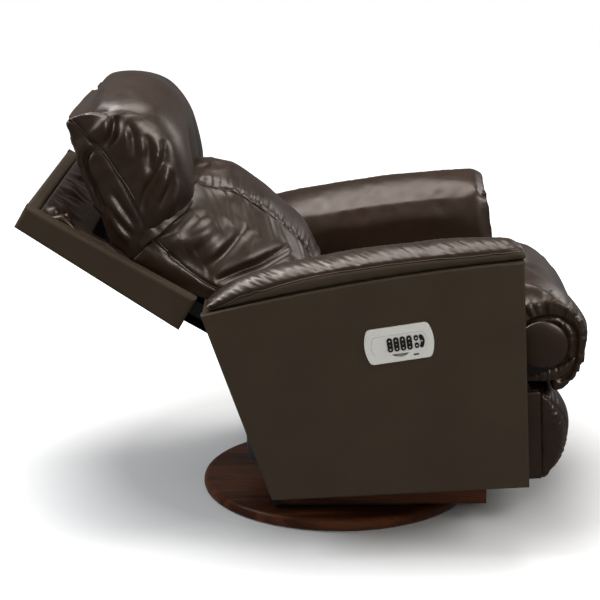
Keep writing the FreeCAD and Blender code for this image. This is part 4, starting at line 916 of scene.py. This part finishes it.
@dataclass
class BackCushion(SoftPiece):
    """Back cushion: a centre panel between two bolsters, with loose diagonal folds."""

    SEAM = ((128, -88, 30), (144, -97, 81), (154, -104, 111), (163, -111, 158), (169, -120, 208),
            (171, -129, 255), (163, -141, 307))
    # Each loose fold with its half-width and depth
    CREASES = ((((57, -256, 304), (88, -232, 285), (118, -202, 268)), 15.0, 6.5),
               (((24, -255, 223), (45, -243, 207), (84, -218, 192), (131, -168, 180)), 13.0, 8.0),
               (((40, -266, 336), (76, -246, 318), (112, -216, 306)), 11.0, 5.0),
               (((38, -250, 254), (80, -226, 236), (120, -186, 222)), 17.0, 5.5))
    LONG = ((5, -254, 190), (55, -232, 150), (75, -214, 128), (100, -185, 106), (126, -150, 84))
    BOXING = ((30, -276, 348), (21, -276, 313), (13, -270, 274), (4, -264, 235), (-2, -260, 201),
              (0, -250, 120), (12, -246, 20))

    def held(self, local: Rows) -> Rows:
        """The cushion's back is stapled to the posts, and its foot is closed."""
        return (local[:, 0] < 12.0) | (local[:, 2] < 8.0)

    def welts(self) -> List[Line]:
        """The lengthwise seams and the boxed sides are welted."""
        return [turn(line) for line in (self.SEAM, self.BOXING) for turn in (list, flipped)]

    def sew(self, surface: Surface) -> None:
        """Lengthwise seams with puckers, boxed sides and the bolsters' folds.

        Args:
            surface: the cushion's skin.
        """
        for turn in (list, flipped):
            inner = Side.LEFT if turn is list else Side.RIGHT
            outer = Side.RIGHT if turn is list else Side.LEFT
            surface.groove(turn(self.SEAM), width=4.0, depth=5.0)
            surface.gather(turn(self.SEAM), pitch=15.0, spread=42.0, depth=2.4, seed=5, side=inner)
            surface.gather(turn(self.SEAM), pitch=31.0, spread=70.0, depth=1.8, seed=6, side=outer, lean=0.6)
            surface.groove(turn(self.BOXING), width=3.5, depth=4.0)
            for crease, width, depth in self.CREASES:
                surface.fold(turn(crease), width, depth, lip=0.6)
            surface.fold(turn(self.LONG), width=8.0, depth=10.0)
        surface.slack(size=95.0, depth=3.0, seed=21)


@dataclass
class SeatCushion(SoftPiece):
    """Seat: crowned top rolled over the front, with oval ends that the roll is gathered round."""

    # How far the roll swells to the front and hangs down
    SWELL = 14.0
    DROP = 24.0
    OVAL = ((366, -262, 418), (376, -262, 434), (396, -262, 443), (420, -262, 442), (438, -262, 430), (449, -262, 410),
            (451, -262, 386), (447, -262, 362), (436, -262, 344), (418, -262, 334))

    def held(self, local: Rows) -> Rows:
        """The seat is stapled under its frame and boxed at the back."""
        return ((local[:, 2] < 362.0) & (local[:, 0] < 412.0)) | (local[:, 0] < -36.0)

    def sag(self, local: Rows) -> Rows:
        """The roll swells over the front and hangs down to the footrest.

        Args:
            local: rows of local points.

        Returns:
            Rows of offsets.
        """
        front = eased((local[:, 0] - 378) / 48)
        swell, drop = eased((470 - local[:, 2]) / 70), eased((400 - local[:, 2]) / 60)
        return np.column_stack([self.SWELL * front * swell, np.zeros(len(local)), -self.DROP * front * drop])

    def sew(self, surface: Surface) -> None:
        """Gathers round the oval ends and a loose top.

        Args:
            surface: the cushion's skin.
        """
        for turn in (list, flipped):
            surface.groove(turn(self.OVAL), width=6.0, depth=9.0)
            surface.gather(turn(self.OVAL), pitch=14.0, spread=60.0, depth=5.0, seed=31)
        surface.slack(size=150.0, depth=2.0, seed=33)


@dataclass
class FootPad(SoftPiece):
    """Footrest pad: a half-round pillow gathered along its ends."""

    EDGE = ((388, -262, 284), (413, -254, 266), (436, -240, 233), (449, -226, 190), (436, -240, 146),
            (413, -254, 112), (388, -262, 92))

    def held(self, local: Rows) -> Rows:
        """The pad is stapled to its board."""
        return local[:, 0] < 393.0

    def sew(self, surface: Surface) -> None:
        """Edge seams with their gathers.

        Args:
            surface: the cushion's skin.
        """
        for turn in (list, flipped):
            surface.groove(turn(self.EDGE), width=3.0, depth=3.0)
            surface.gather(turn(self.EDGE), pitch=12.0, spread=40.0, depth=1.7, seed=41)
        surface.slack(size=130.0, depth=1.4, seed=43)


@dataclass
class ArmPad(SoftPiece):
    """Arm pad: a pillow top gathered along its cap seam above a smooth band.

    Attributes:
        side: the side of the chair that it is on.
        puckers: height of its gathers, in millimetres.
    """

    side: Side = Side.RIGHT
    puckers: float = 1.9

    CAP = ((-291, -433, 537), (-260, -433, 550), (-234, -433, 561), (-206, -433, 570), (-180, -433, 578),
           (-122, -431, 593), (-66, -430, 604), (20, -430, 613), (108, -430, 621),
           (206, -431, 626), (272, -431, 629), (317, -430, 632), (345, -418, 637))

    def _rise(self, local: Rows) -> Rows:
        """Height of each point above the cap seam."""
        return local[:, 2] - np.interp(local[:, 0], [p[0] for p in self.CAP], [p[2] for p in self.CAP])

    def held(self, local: Rows) -> Rows:
        """The pad is stapled to its frame below, and its band stays flat."""
        return ((np.abs(local[:, 1]) > 424.0) & (self._rise(local) <= 2.0)) | (local[:, 2] < 470.0)

    def welts(self) -> List[Line]:
        """The cap seam is welted."""
        return [self.CAP if self.side is Side.RIGHT else flipped(self.CAP)]

    def sew(self, surface: Surface) -> None:
        """The cap seam and its gathers.

        Args:
            surface: the cushion's skin.
        """
        cap = self.welts()[0]
        surface.groove(cap, width=4.0, depth=3.0)
        share = eased(self._rise(surface.points) / 8) * eased((350 - surface.points[:, 0]) / 26)
        before = surface.height.copy()
        surface.gather(cap, pitch=17.0, spread=88.0, depth=self.puckers, seed=51 + self.side.value, lean=0.9)
        surface.height = before + (surface.height - before) * share
        surface.slack(size=90.0, depth=0.35 * self.puckers, seed=53, mask=share)

    def build(self, palette: Palette) -> Obj:
        """Makes the pad and gives its band the panels' duller leather.

        Args:
            palette: the finishes.

        Returns:
            The piece.
        """
        obj = super().build(palette)
        obj.data.materials.append(palette.materials[Slot.PANEL])
        centres = np.zeros(len(obj.data.polygons) * 3)
        obj.data.polygons.foreach_get("center", centres)
        local = self.local.to_local(centres.reshape(-1, 3))
        band = (np.abs(local[:, 1]) > 420.0) & (self._rise(local) <= 0)
        obj.data.polygons.foreach_set("material_index", band.astype(np.int32))
        return obj


# Covers and lining

def new_piece(name: str, bm: Drawing, local: Optional[LocalFrame] = None) -> Obj:
    """Makes an object of a mesh that was drawn in a local frame.

    Args:
        name: the piece's name.
        bm: its mesh, which is freed.
        local: the frame it was drawn in, in millimetres, or None for world metres.

    Returns:
        The object.
    """
    if local is not None:
        placed = local.to_world(np.array([v.co[:] for v in bm.verts]))
        for vert, point in zip(bm.verts, placed):
            vert.co = point
    bmesh.ops.recalc_face_normals(bm, faces=bm.faces)
    mesh = bpy.data.meshes.new(name)
    bm.to_mesh(mesh)
    bm.free()
    return add_object(name, mesh)


def new_sheet(name: str, bm: Drawing, palette: Palette, thickness: float,
              local: Optional[LocalFrame] = None) -> Obj:
    """Makes a thin leather sheet of an open mesh.

    Args:
        name: the sheet's name.
        bm: its mesh, which is freed.
        palette: the finishes.
        thickness: of the leather, in metres.
        local: the frame it was drawn in, in millimetres, or None for world metres.

    Returns:
        The sheet.
    """
    obj = new_piece(name, bm, local)
    thick = obj.modifiers.new("thick", "SOLIDIFY")
    thick.thickness, thick.offset = thickness, 0.0
    obj.data.shade_smooth()
    palette.dress(obj, Slot.CUSHION)
    return obj


def add_box(bm: Drawing, low: Point, high: Point, edge: float, segments: int = 3) -> None:
    """Adds a box with rounded edges to a mesh.

    Args:
        bm: the mesh.
        low: lowest corner.
        high: highest corner.
        edge: radius of the edges.
        segments: divisions of each round.
    """
    made = bmesh.ops.create_cube(bm, size=1.0)["verts"]
    size = Vector(high) - Vector(low)
    bmesh.ops.scale(bm, vec=size, verts=made)
    bmesh.ops.translate(bm, vec=Vector(low) + size / 2, verts=made)
    edges = list({e for v in made for e in v.link_edges})
    bmesh.ops.bevel(bm, geom=edges, offset=edge, affect="EDGES", segments=segments, profile=0.5, material=-1)


@dataclass(frozen=True)
class TrayLining:
    """Loose leather between the headrest and the rim of the back, in the back's frame."""

    half_width: float = 312.0
    low: float = 358.0
    turn: float = 456.0
    high: float = 571.0
    inner: float = 226.0
    rim: float = -24.5
    floor: float = -35.0
    cell: float = 6.0
    thickness: float = 0.0014
    side_room: float = 15.0
    top_room: float = 9.0

    # Loose folds on the left, across and up the back, each with its half-width and depth
    FOLDS = ((((302, 560), (276, 505), (286, 440), (268, 368)), 10.0, 13.0),
             (((258, 566), (246, 510), (264, 448), (250, 392)), 9.0, 11.0),
             (((236, 548), (292, 508), (306, 470), (300, 430)), 8.0, 10.0),
             (((130, 562), (156, 512), (138, 456)), 10.0, 9.0),
             (((190, 566), (205, 520), (190, 470)), 8.0, 8.0),
             (((60, 564), (40, 515), (66, 460)), 9.0, 8.0))

    def _height(self, y: Rows, u: Rows) -> Rows:
        """Height of the leather over the tray.

        Args:
            y: places across the chair.
            u: places up the back.

        Returns:
            Heights along the back's own normal.
        """
        edge = np.minimum(self.half_width - np.abs(y), self.high - u)
        flat = Surface(np.column_stack([np.zeros_like(y), y, u]), np.tile([1.0, 0.0, 0.0], (len(y), 1)))
        flat.slack(size=95.0, depth=6.0, seed=61)
        for sign in (-1, 1):
            for line, width, depth in self.FOLDS:
                flat.fold([(0, across * sign, up) for across, up in line], width, depth)
        room = self.side_room * np.clip((np.abs(y) - 258) / 30, 0, 1) + self.top_room * np.clip((u - 490) / 50, 0, 1)
        crumple = np.clip(np.abs(flat.height) / 9.0, 0.0, 1.4) * room * (1 - np.exp(-edge / 14))
        return self.floor + (self.rim - self.floor) * np.exp(-edge / 30) + crumple

    def build(self, palette: Palette) -> None:
        """Args:
            palette: the finishes.
        """
        width, length = 2 * self.half_width, self.high - self.low
        bm = bmesh.new()
        bmesh.ops.create_grid(bm, x_segments=int(width / self.cell), y_segments=int(length / self.cell), size=1.0)
        y = np.array([v.co.x for v in bm.verts]) * self.half_width
        u = self.low + (np.array([v.co.y for v in bm.verts]) + 1) / 2 * length
        for vert, point in zip(bm.verts, np.column_stack([self._height(y, u), y, u])):
            vert.co = point
        middles = [(f, f.calc_center_median()) for f in bm.faces]
        waste = [f for f, middle in middles if abs(middle.y) < self.inner and middle.z < self.turn]
        bmesh.ops.delete(bm, geom=waste, context="FACES")
        area = sum(f.calc_area() for f in bm.faces) / 1e6
        obj = new_sheet("tray_lining", bm, palette, self.thickness, BACK)
        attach(obj, "backrest")
        LOG.info("tray_lining: %.3f square metres, backrest", area)


@dataclass(frozen=True)
class SeatBridge:
    """Leather that closes the gap between the seat and the back."""

    half_width: float = 232.0
    rows: int = 14
    columns: int = 60
    thickness: float = 0.0016
    sag: float = 12.0
    ripples: float = 1.6

    # Half-width of the crown; the strip's ends on the seat and on the back, and how far the crown moves each
    CROWN = 245.0
    SEAT, SEAT_RISE = (-34.0, 452.0), 11.0
    FOOT, FOOT_REACH = (2.0, 10.0), 108.0

    def _edges(self, y: float) -> Tuple[Rows, Rows]:
        """World ends of the strip at one place across the chair, in millimetres.

        Args:
            y: place across the chair.

        Returns:
            The point on the seat and the point under the back cushion.
        """
        crown = 1 - (y / self.CROWN) ** 2
        seat = LEVEL.to_world(np.array([[self.SEAT[0], y, self.SEAT[1] + self.SEAT_RISE * crown]]))[0] * 1000
        foot = BACK.to_world(np.array([[self.FOOT[0] + self.FOOT_REACH * crown, y, self.FOOT[1]]]))[0] * 1000
        return seat, foot

    def build(self, palette: Palette) -> None:
        """Args:
            palette: the finishes.
        """
        bm = bmesh.new()
        bmesh.ops.create_grid(bm, x_segments=self.columns, y_segments=self.rows, size=1.0)
        for vert in bm.verts:
            y, t = vert.co.x * self.half_width, (vert.co.y + 1) / 2
            seat, foot = self._edges(y)
            sag = self.sag * math.sin(math.pi * t)
            wave = self.ripples * math.sin(math.pi * t) * math.sin(y / 19.0 + 2.0 * math.sin(y / 70.0))
            point = seat + (foot - seat) * t + np.array([-sag, 0.0, wave])
            vert.co = point / 1000
        area = sum(f.calc_area() for f in bm.faces)
        obj = new_sheet("seat_bridge", bm, palette, self.thickness)
        seat, foot = self._edges(0.0)
        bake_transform(obj)
        LOG.info("seat_bridge: %.3f square metres, chair_body to backrest", area)


@dataclass(frozen=True)
class NeckGusset:
    """Folded leather between the pillow and the top of the back cushion."""

    rows: int = 14
    steps: int = 8
    thickness: float = 0.0016
    swell: float = 2.5
    crinkle: float = 0.8

    # The right halves of its edges in the headrest's and the back's frames
    CHIN = ((18, -262, 70), (50, -270, 62), (88, -268, 60), (120, -260, 72), (150, -246, 86),
            (172, -226, 94), (182, -175, 92), (187, -90, 86), (190, 0, 82))
    FOOT = ((-30, -280, 356), (10, -280, 352), (38, -270, 338), (70, -247, 324), (103, -215, 309),
            (124, -184, 306), (136, -126, 314), (142, -60, 316), (146, 0, 316))
    # Two points in the back's frame, which build turns into world points and does not use
    BLEND = ((100.0, 0.0, 359.0), (95.3, 0.0, 337.6))

    def _edge(self, local: LocalFrame, half: Line) -> Rows:
        """World points of one edge from right to left, in millimetres, from its right half in a frame."""
        whole = list(half) + flipped(half)[-2::-1]
        return local.to_world(smooth_line(whole, self.steps)) * 1000

    def build(self, palette: Palette) -> None:
        """Args:
            palette: the finishes.
        """
        chin, foot = self._edge(HEAD, self.CHIN), self._edge(BACK, self.FOOT)
        columns = len(chin) - 1
        mid = (chin + foot) / 2
        along = np.concatenate([[0.0], np.cumsum(np.linalg.norm(np.diff(mid, axis=0), axis=1))])
        run = np.gradient(mid, axis=0)
        out = np.cross(run, chin - foot)
        out /= np.linalg.norm(out, axis=1)[:, None]
        if out[columns // 2][0] < 0:
            out = -out
        bm = bmesh.new()
        bmesh.ops.create_grid(bm, x_segments=columns, y_segments=self.rows, size=1.0)
        column = np.array([round((v.co.x + 1) / 2 * columns) for v in bm.verts])
        t = np.array([(v.co.y + 1) / 2 for v in bm.verts])
        broad = np.sin(math.pi * t) * self.swell * ripple(along, pitch=34.0, seed=81)[column]
        swell = broad + self.crinkle * ripple(along[column] + 30 * t, pitch=15.0, seed=82)
        placed = foot[column] + (chin - foot)[column] * t[:, None] + out[column] * swell[:, None]
        for vert, point in zip(bm.verts, placed):
            vert.co = point / 1000
        area = sum(f.calc_area() for f in bm.faces)
        obj = new_sheet("neck_gusset", bm, palette, self.thickness)
        start, end = BACK.to_world(np.array(self.BLEND))
        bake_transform(obj)
        LOG.info("neck_gusset: %.3f square metres, headrest to backrest", area)


@dataclass(frozen=True)
class Covers:
    """Leather round the footrest board, leather on the ends of the seat's front, and black cloth over the seat's rail
    ends as painted shade.
    """

    # Boxes on the left by two corners, which are repeated on the right
    FOOT_ENDS = ((347.0, 253.0, 94.0), (389.0, 261.8, 286.5))
    APRON_ENDS = ((343.0, 264.3, 323.0), (406.0, 266.6, 358.0))
    # Boxes right across the footrest by two corners, and the radius of their edges
    FOOT_RIMS = (((371.0, -250.2, 284.3), (386.2, 250.2, 287.6), 1.2),
                 ((371.0, -250.2, 92.0), (386.2, 250.2, 99.7), 3.0))
    # Half sizes and centres of the rounded pieces on the left
    OVAL = ((54.0, 12.0, 53.0), (394.0, 260.0, 386.0))
    ROLL = ((60.0, 13.0, 15.0), (404.0, 255.0, 323.0))
    FILL = 0.8

    @staticmethod
    def _add_ends(bm: Drawing, ends: Tuple[Point, Point], edge: float) -> None:
        """Adds a box on each side of the chair.

        Args:
            bm: the mesh.
            ends: two corners of the box on the left.
            edge: radius of the edges.
        """
        low, high = ends
        for sign in (-1, 1):
            inner, outer = sorted((low[1] * sign, high[1] * sign))
            add_box(bm, (low[0], inner, low[2]), (high[0], outer, high[2]), edge)

    def _foot_wrap(self, bm: Drawing) -> None:
        """Wraps the footrest board's edges.

        Args:
            bm: the mesh.
        """
        self._add_ends(bm, self.FOOT_ENDS, 4.0)
        for low, high, edge in self.FOOT_RIMS:
            add_box(bm, low, high, edge)

    def _painted_shade_apron(self, bm: Drawing) -> None:
        """Covers the ends of the seat's rails in black cloth, a dark sheet that paints the shade below the oval ends.
        """
        self._add_ends(bm, self.APRON_ENDS, 1.0)

    def _oval_ends(self, bm: Drawing) -> None:
        """Makes the smooth oval panels in the seat's ends.

        Args:
            bm: the mesh.
        """
        half, (x, y, z) = self.OVAL
        for sign in (-1, 1):
            made = bmesh.ops.create_uvsphere(bm, u_segments=40, v_segments=24, radius=1.0)["verts"]
            bmesh.ops.scale(bm, vec=half, verts=made)
            bmesh.ops.translate(bm, vec=(x, y * sign, z), verts=made)

    def _roll_returns(self, bm: Drawing) -> None:
        """Makes the gathered ends of the seat roll under the oval panels.

        Args:
            bm: the mesh.
        """
        (long, deep, tall), (x, y, z) = self.ROLL
        for sign in (-1, 1):
            made = bmesh.ops.create_uvsphere(bm, u_segments=48, v_segments=96, radius=1.0)["verts"]
            bmesh.ops.rotate(bm, cent=(0, 0, 0), matrix=Matrix.Rotation(math.pi / 2, 3, "Y"), verts=made)
            pucker = 1 + 0.07 * ripple(np.array([v.co.x * long for v in made]), 13.0, 71)
            for vert, share in zip(made, pucker):
                along = vert.co.x * long
                rise = 0.009 * max(along, 0.0) ** 2
                vert.co = (along, vert.co.y * deep * share, vert.co.z * tall * share + rise)
            bmesh.ops.translate(bm, vec=(x, y * sign, z), verts=made)

    def build(self, palette: Palette) -> None:
        """Makes every cover and hangs it on its body.

        Args:
            palette: the finishes.
        """
        for name, draw, body, slot, stuffed in (
                ("foot_wrap", self._foot_wrap, "footrest", Slot.CUSHION, False),
                # The apron's black cloth is painted shade: a dark sheet where the recess below the oval ends lies in
                # shadow.
                ("painted_shade_apron", self._painted_shade_apron, "chair_body", Slot.CLOTH, False),
                ("oval_ends", self._oval_ends, "chair_body", Slot.CUSHION, True),
                ("roll_returns", self._roll_returns, "chair_body", Slot.CUSHION, True)):
            bm = bmesh.new()
            draw(bm)
            obj = new_piece(name, bm, LEVEL)
            obj.data.shade_smooth()
            palette.hang(obj, slot, body)


class Mark(Enum):
    """Shapes printed on the keys: corners of the shape and its turn in degrees."""

    UP = (3, 90.0)
    DOWN = (3, -90.0)
    DOT = (16, 0.0)
    SQUARE = (4, 45.0)


@dataclass(frozen=True)
class KeyMarks:
    """Plain marks on the keys and the liner of the charging slot, in the control panel's frame."""

    centre: Tuple[float, float] = (90.0, 459.0)
    slope: float = 5.7
    face: float = -445.4
    height: float = 0.18
    pitch: float = 12.9
    first: float = -18.5

    # Boxes of the charging slot's liner: two walls, the end and the tongue
    LINER = (((25.95, -441.2, -27.5), (36.05, -428.0, -26.9)), ((25.95, -441.2, -25.1), (36.05, -428.0, -24.5)),
             ((26.0, -428.6, -27.5), (36.0, -427.8, -24.5)), ((28.0, -438.5, -26.3), (34.0, -428.3, -25.6)))
    LINER_EDGE = 0.15

    def _hang(self, name: str, bm: Drawing, palette: Palette, slot: Slot, body: str) -> None:
        """Takes a mesh from the control panel's frame to the body's and hangs it there.

        Args:
            name: the piece's name.
            bm: its mesh, which is freed.
            palette: the finishes.
            slot: its finish.
            body: the body that it rides on.
        """
        angle = math.radians(self.slope)
        c, s = math.cos(angle), math.sin(angle)
        for vert in bm.verts:
            x, y, z = vert.co
            vert.co = (self.centre[0] + x * c - z * s, y, self.centre[1] + x * s + z * c)
        palette.hang(new_piece(name, bm, LEVEL), slot, body)

    def _mark(self, bm: Drawing, mark: Mark, x: float, z: float, radius: float) -> None:
        """Prints one mark.

        Args:
            bm: the mesh it is added to.
            mark: its shape.
            x: place along the panel.
            z: place up the panel.
            radius: its size.
        """
        corners, turn = mark.value
        made = bmesh.ops.create_circle(bm, cap_ends=True, segments=corners, radius=radius)["verts"]
        angle = math.radians(turn)
        start = math.atan2(made[0].co.y, made[0].co.x)
        for vert in made:
            a = math.atan2(vert.co.y, vert.co.x) - start + angle
            vert.co = (x + radius * math.cos(a), self.face, z + radius * math.sin(a))
        faces = list({f for v in made for f in v.link_faces})
        grown = bmesh.ops.extrude_face_region(bm, geom=faces)["geom"]
        tops = [g for g in grown if isinstance(g, bmesh.types.BMVert)]
        bmesh.ops.translate(bm, vec=(0.0, -self.height, 0.0), verts=tops)

    def build(self, palette: Palette) -> None:
        """Prints every key and lines the slot.

        Args:
            palette: the finishes.
        """
        jobs: Dict[str, List[Tuple[Mark, float, float, float]]] = {}
        for i in range(4):
            x = self.first + i * self.pitch
            jobs["rocker_key_%d" % (i + 1)] = [(Mark.UP, x, 8.6, 2.1), (Mark.DOT, x, 0.0, 0.8),
                                               (Mark.DOWN, x, -8.6, 2.1)]
        jobs["small_key_upper"] = [(Mark.DOT, 34.0, 7.6, 1.5)]
        jobs["small_key_lower"] = [(Mark.SQUARE, 34.0, -7.6, 1.7)]
        jobs["home_key"] = [(Mark.UP, 44.9, 0.6, 2.0)]
        for body, marks in jobs.items():
            bm = bmesh.new()
            for mark in marks:
                self._mark(bm, *mark)
            self._hang(body + "_marks", bm, palette, Slot.GREY, body)
        bm = bmesh.new()
        for low, high in self.LINER:
            add_box(bm, low, high, self.LINER_EDGE, 2)
        self._hang("charging_liner", bm, palette, Slot.KEY, "chair_body")


# Studio

class Reach(Enum):
    """Which light of a lamp the chair takes: diffuse and mirrored, as two flags."""

    WHOLE = (True, True)
    FILL = (True, False)
    GLOSS = (False, True)


@dataclass(frozen=True)
class Lamp:
    """A soft box that faces one point.

    Attributes:
        name: the lamp's name.
        place: where it hangs, in metres.
        aim: what it faces.
        size: width and height.
        power: in watts.
        colour: linear colour.
        reach: which of its light the chair takes.
    """

    name: str
    place: Point
    aim: Point
    size: Tuple[float, float]
    power: float
    colour: Colour
    reach: Reach = Reach.WHOLE

    def hang(self) -> None:
        """Adds the lamp to the scene."""
        data = bpy.data.lights.new(self.name, "AREA")
        data.shape = "RECTANGLE"
        data.size, data.size_y = self.size
        data.energy = self.power
        data.color = self.colour
        obj = add_object(self.name, data)
        obj.location = self.place
        obj.visible_diffuse, obj.visible_glossy = self.reach.value
        obj.visible_camera = False
        obj.rotation_euler = (Vector(self.aim) - Vector(self.place)).to_track_quat("-Z", "Y").to_euler()


@dataclass(frozen=True)
class Studio:
    """White floor, white surround, soft boxes and the camera."""

    eye: Point = (-0.086, -3.755, 1.399)
    tilt: float = 75.52
    lens: float = 105.0
    sensor: float = 36.0
    surround: float = 0.16
    floor_half: float = 9.0
    floor_drop: float = 0.0005
    floor_tone: float = 0.66
    lamps: Tuple[Lamp, ...] = (
        Lamp("overhead", (-0.15, 0.3, 2.9), (0.0, 0.0, 0.5), (2.2, 1.4), 60.0, (1.0, 0.985, 0.965)),
        Lamp("overhead_fill", (-0.15, 0.3, 2.9), (0.0, 0.0, 0.5), (2.2, 1.4), 45.0, (1.0, 0.985, 0.965), Reach.FILL),
        Lamp("left", (-2.4, -0.4, 2.2), (-0.2, 0.0, 0.6), (1.2, 1.6), 48.0, (0.93, 0.96, 1.0)),
        Lamp("left_card", (-1.3, 0.2, 2.6), (-0.4, 0.0, 0.8), (0.9, 0.9), 40.0, (0.95, 0.97, 1.0), Reach.GLOSS),
        Lamp("right", (2.3, -1.5, 2.3), (-0.1, -0.1, 0.5), (1.3, 1.3), 36.0, (1.0, 0.98, 0.95)),
        Lamp("right_card", (2.1, -1.4, 2.1), (-0.2, -0.1, 0.6), (1.1, 1.1), 24.0, (1.0, 0.98, 0.96), Reach.GLOSS),
        Lamp("rear_card", (1.9, 1.5, 1.7), (0.3, 0.0, 0.5), (1.2, 1.2), 15.0, (1.0, 0.98, 0.96), Reach.GLOSS),
        Lamp("front", (0.3, -4.2, 2.3), (0.0, 0.0, 0.4), (3.0, 1.8), 72.0, (1.0, 0.985, 0.97), Reach.FILL),
    )

    def camera(self) -> None:
        """Sets the camera that the photograph was taken with."""
        data = bpy.data.cameras.new("camera")
        data.lens = self.lens
        data.sensor_width = self.sensor
        obj = add_object("camera", data)
        obj.location = self.eye
        obj.rotation_euler = (math.radians(self.tilt), 0.0, 0.0)
        bpy.context.scene.camera = obj

    def floor(self) -> None:
        """Lays a white floor that keeps the chair's shadow."""
        bm = bmesh.new()
        bmesh.ops.create_grid(bm, x_segments=1, y_segments=1, size=self.floor_half)
        obj = new_piece("floor", bm)
        obj.location = (0.0, 0.0, -self.floor_drop)
        obj.visible_glossy = False
        material = bpy.data.materials.new("floor")
        material.use_nodes = True
        tree = material.node_tree
        graph = Graph(tree)
        tree.nodes.remove(tree.nodes["Principled BSDF"])
        white = graph.add("ShaderNodeBsdfDiffuse", None, Color=(*[self.floor_tone] * 3, 1.0))
        place = graph.add("ShaderNodeTexCoord").outputs["Object"]
        behind = graph.add("ShaderNodeVectorMath", {"operation": "DISTANCE"}, i0=place, i1=(0.0, 0.2, 0.0))
        away = behind.outputs["Value"]
        seen = graph.add("ShaderNodeLightPath").outputs["Is Camera Ray"]
        glow = graph.add("ShaderNodeEmission", None, Color=(1.0, 1.0, 1.0, 1.0),
                         Strength=graph.math("MULTIPLY", seen, graph.span(away, 0.5, 1.2)))
        both = graph.add("ShaderNodeAddShader", None, i0=white.outputs[0], i1=glow.outputs[0])
        tree.links.new(both.outputs[0], tree.nodes["Material Output"].inputs["Surface"])
        obj.data.materials.append(material)

    def sky(self) -> None:
        """Makes the surround white to the camera and softer to the chair."""
        world = bpy.data.worlds.new("surround")
        bpy.context.scene.world = world
        world.use_nodes = True
        graph = Graph(world.node_tree)
        back = world.node_tree.nodes["Background"]
        seen = graph.add("ShaderNodeLightPath").outputs["Is Camera Ray"]
        back.inputs["Color"].default_value = (1.0, 1.0, 1.0, 1.0)
        world.node_tree.links.new(graph.span(seen, 0.0, 1.0, self.surround, 1.0), back.inputs["Strength"])

    def build(self) -> None:
        """Sets up the whole studio."""
        bpy.context.scene.view_settings.view_transform = "Standard"
        self.camera()
        self.floor()
        self.sky()
        for lamp in self.lamps:
            lamp.hang()


CUSHIONS: Tuple[SoftPiece, ...] = (
    HeadPillow("head_pillow", "headrest_cushion", "headrest", HEAD, growth=0.008, cap=0.016, inset=0.006),
    BackCushion("back_bolsters", "back_cushion", "backrest", BACK, growth=0.014, cap=0.016, inset=0.006),
    SeatCushion("seat_roll", "seat_cushion", "chair_body", LEVEL, voxel=0.008, cap=0.014, inset=0.005),
    FootPad("foot_pillow", "footrest_pad", "footrest", LEVEL, cap=0.010, inset=0.003),
    ArmPad("arm_pillow_right", "arm_pad_right", "chair_body", LEVEL, growth=0.004, cap=0.008, inset=0.002,
           side=Side.RIGHT),
    ArmPad("arm_pillow_left", "arm_pad_left", "chair_body", LEVEL, growth=0.003, cap=0.008, inset=0.002,
           side=Side.LEFT, puckers=0.8),
)


def main() -> None:
    """Dresses the frame, makes the soft pieces and sets up the studio."""
    logging.basicConfig(level=logging.INFO, format="%(name)s: %(message)s")
    palette = Palette()
    palette.dress_frame()
    for piece in (*CUSHIONS, TrayLining(), SeatBridge(), NeckGusset(), Covers(), KeyMarks()):
        piece.build(palette)
    Studio().build()


if __name__ == "__main__":
    main()
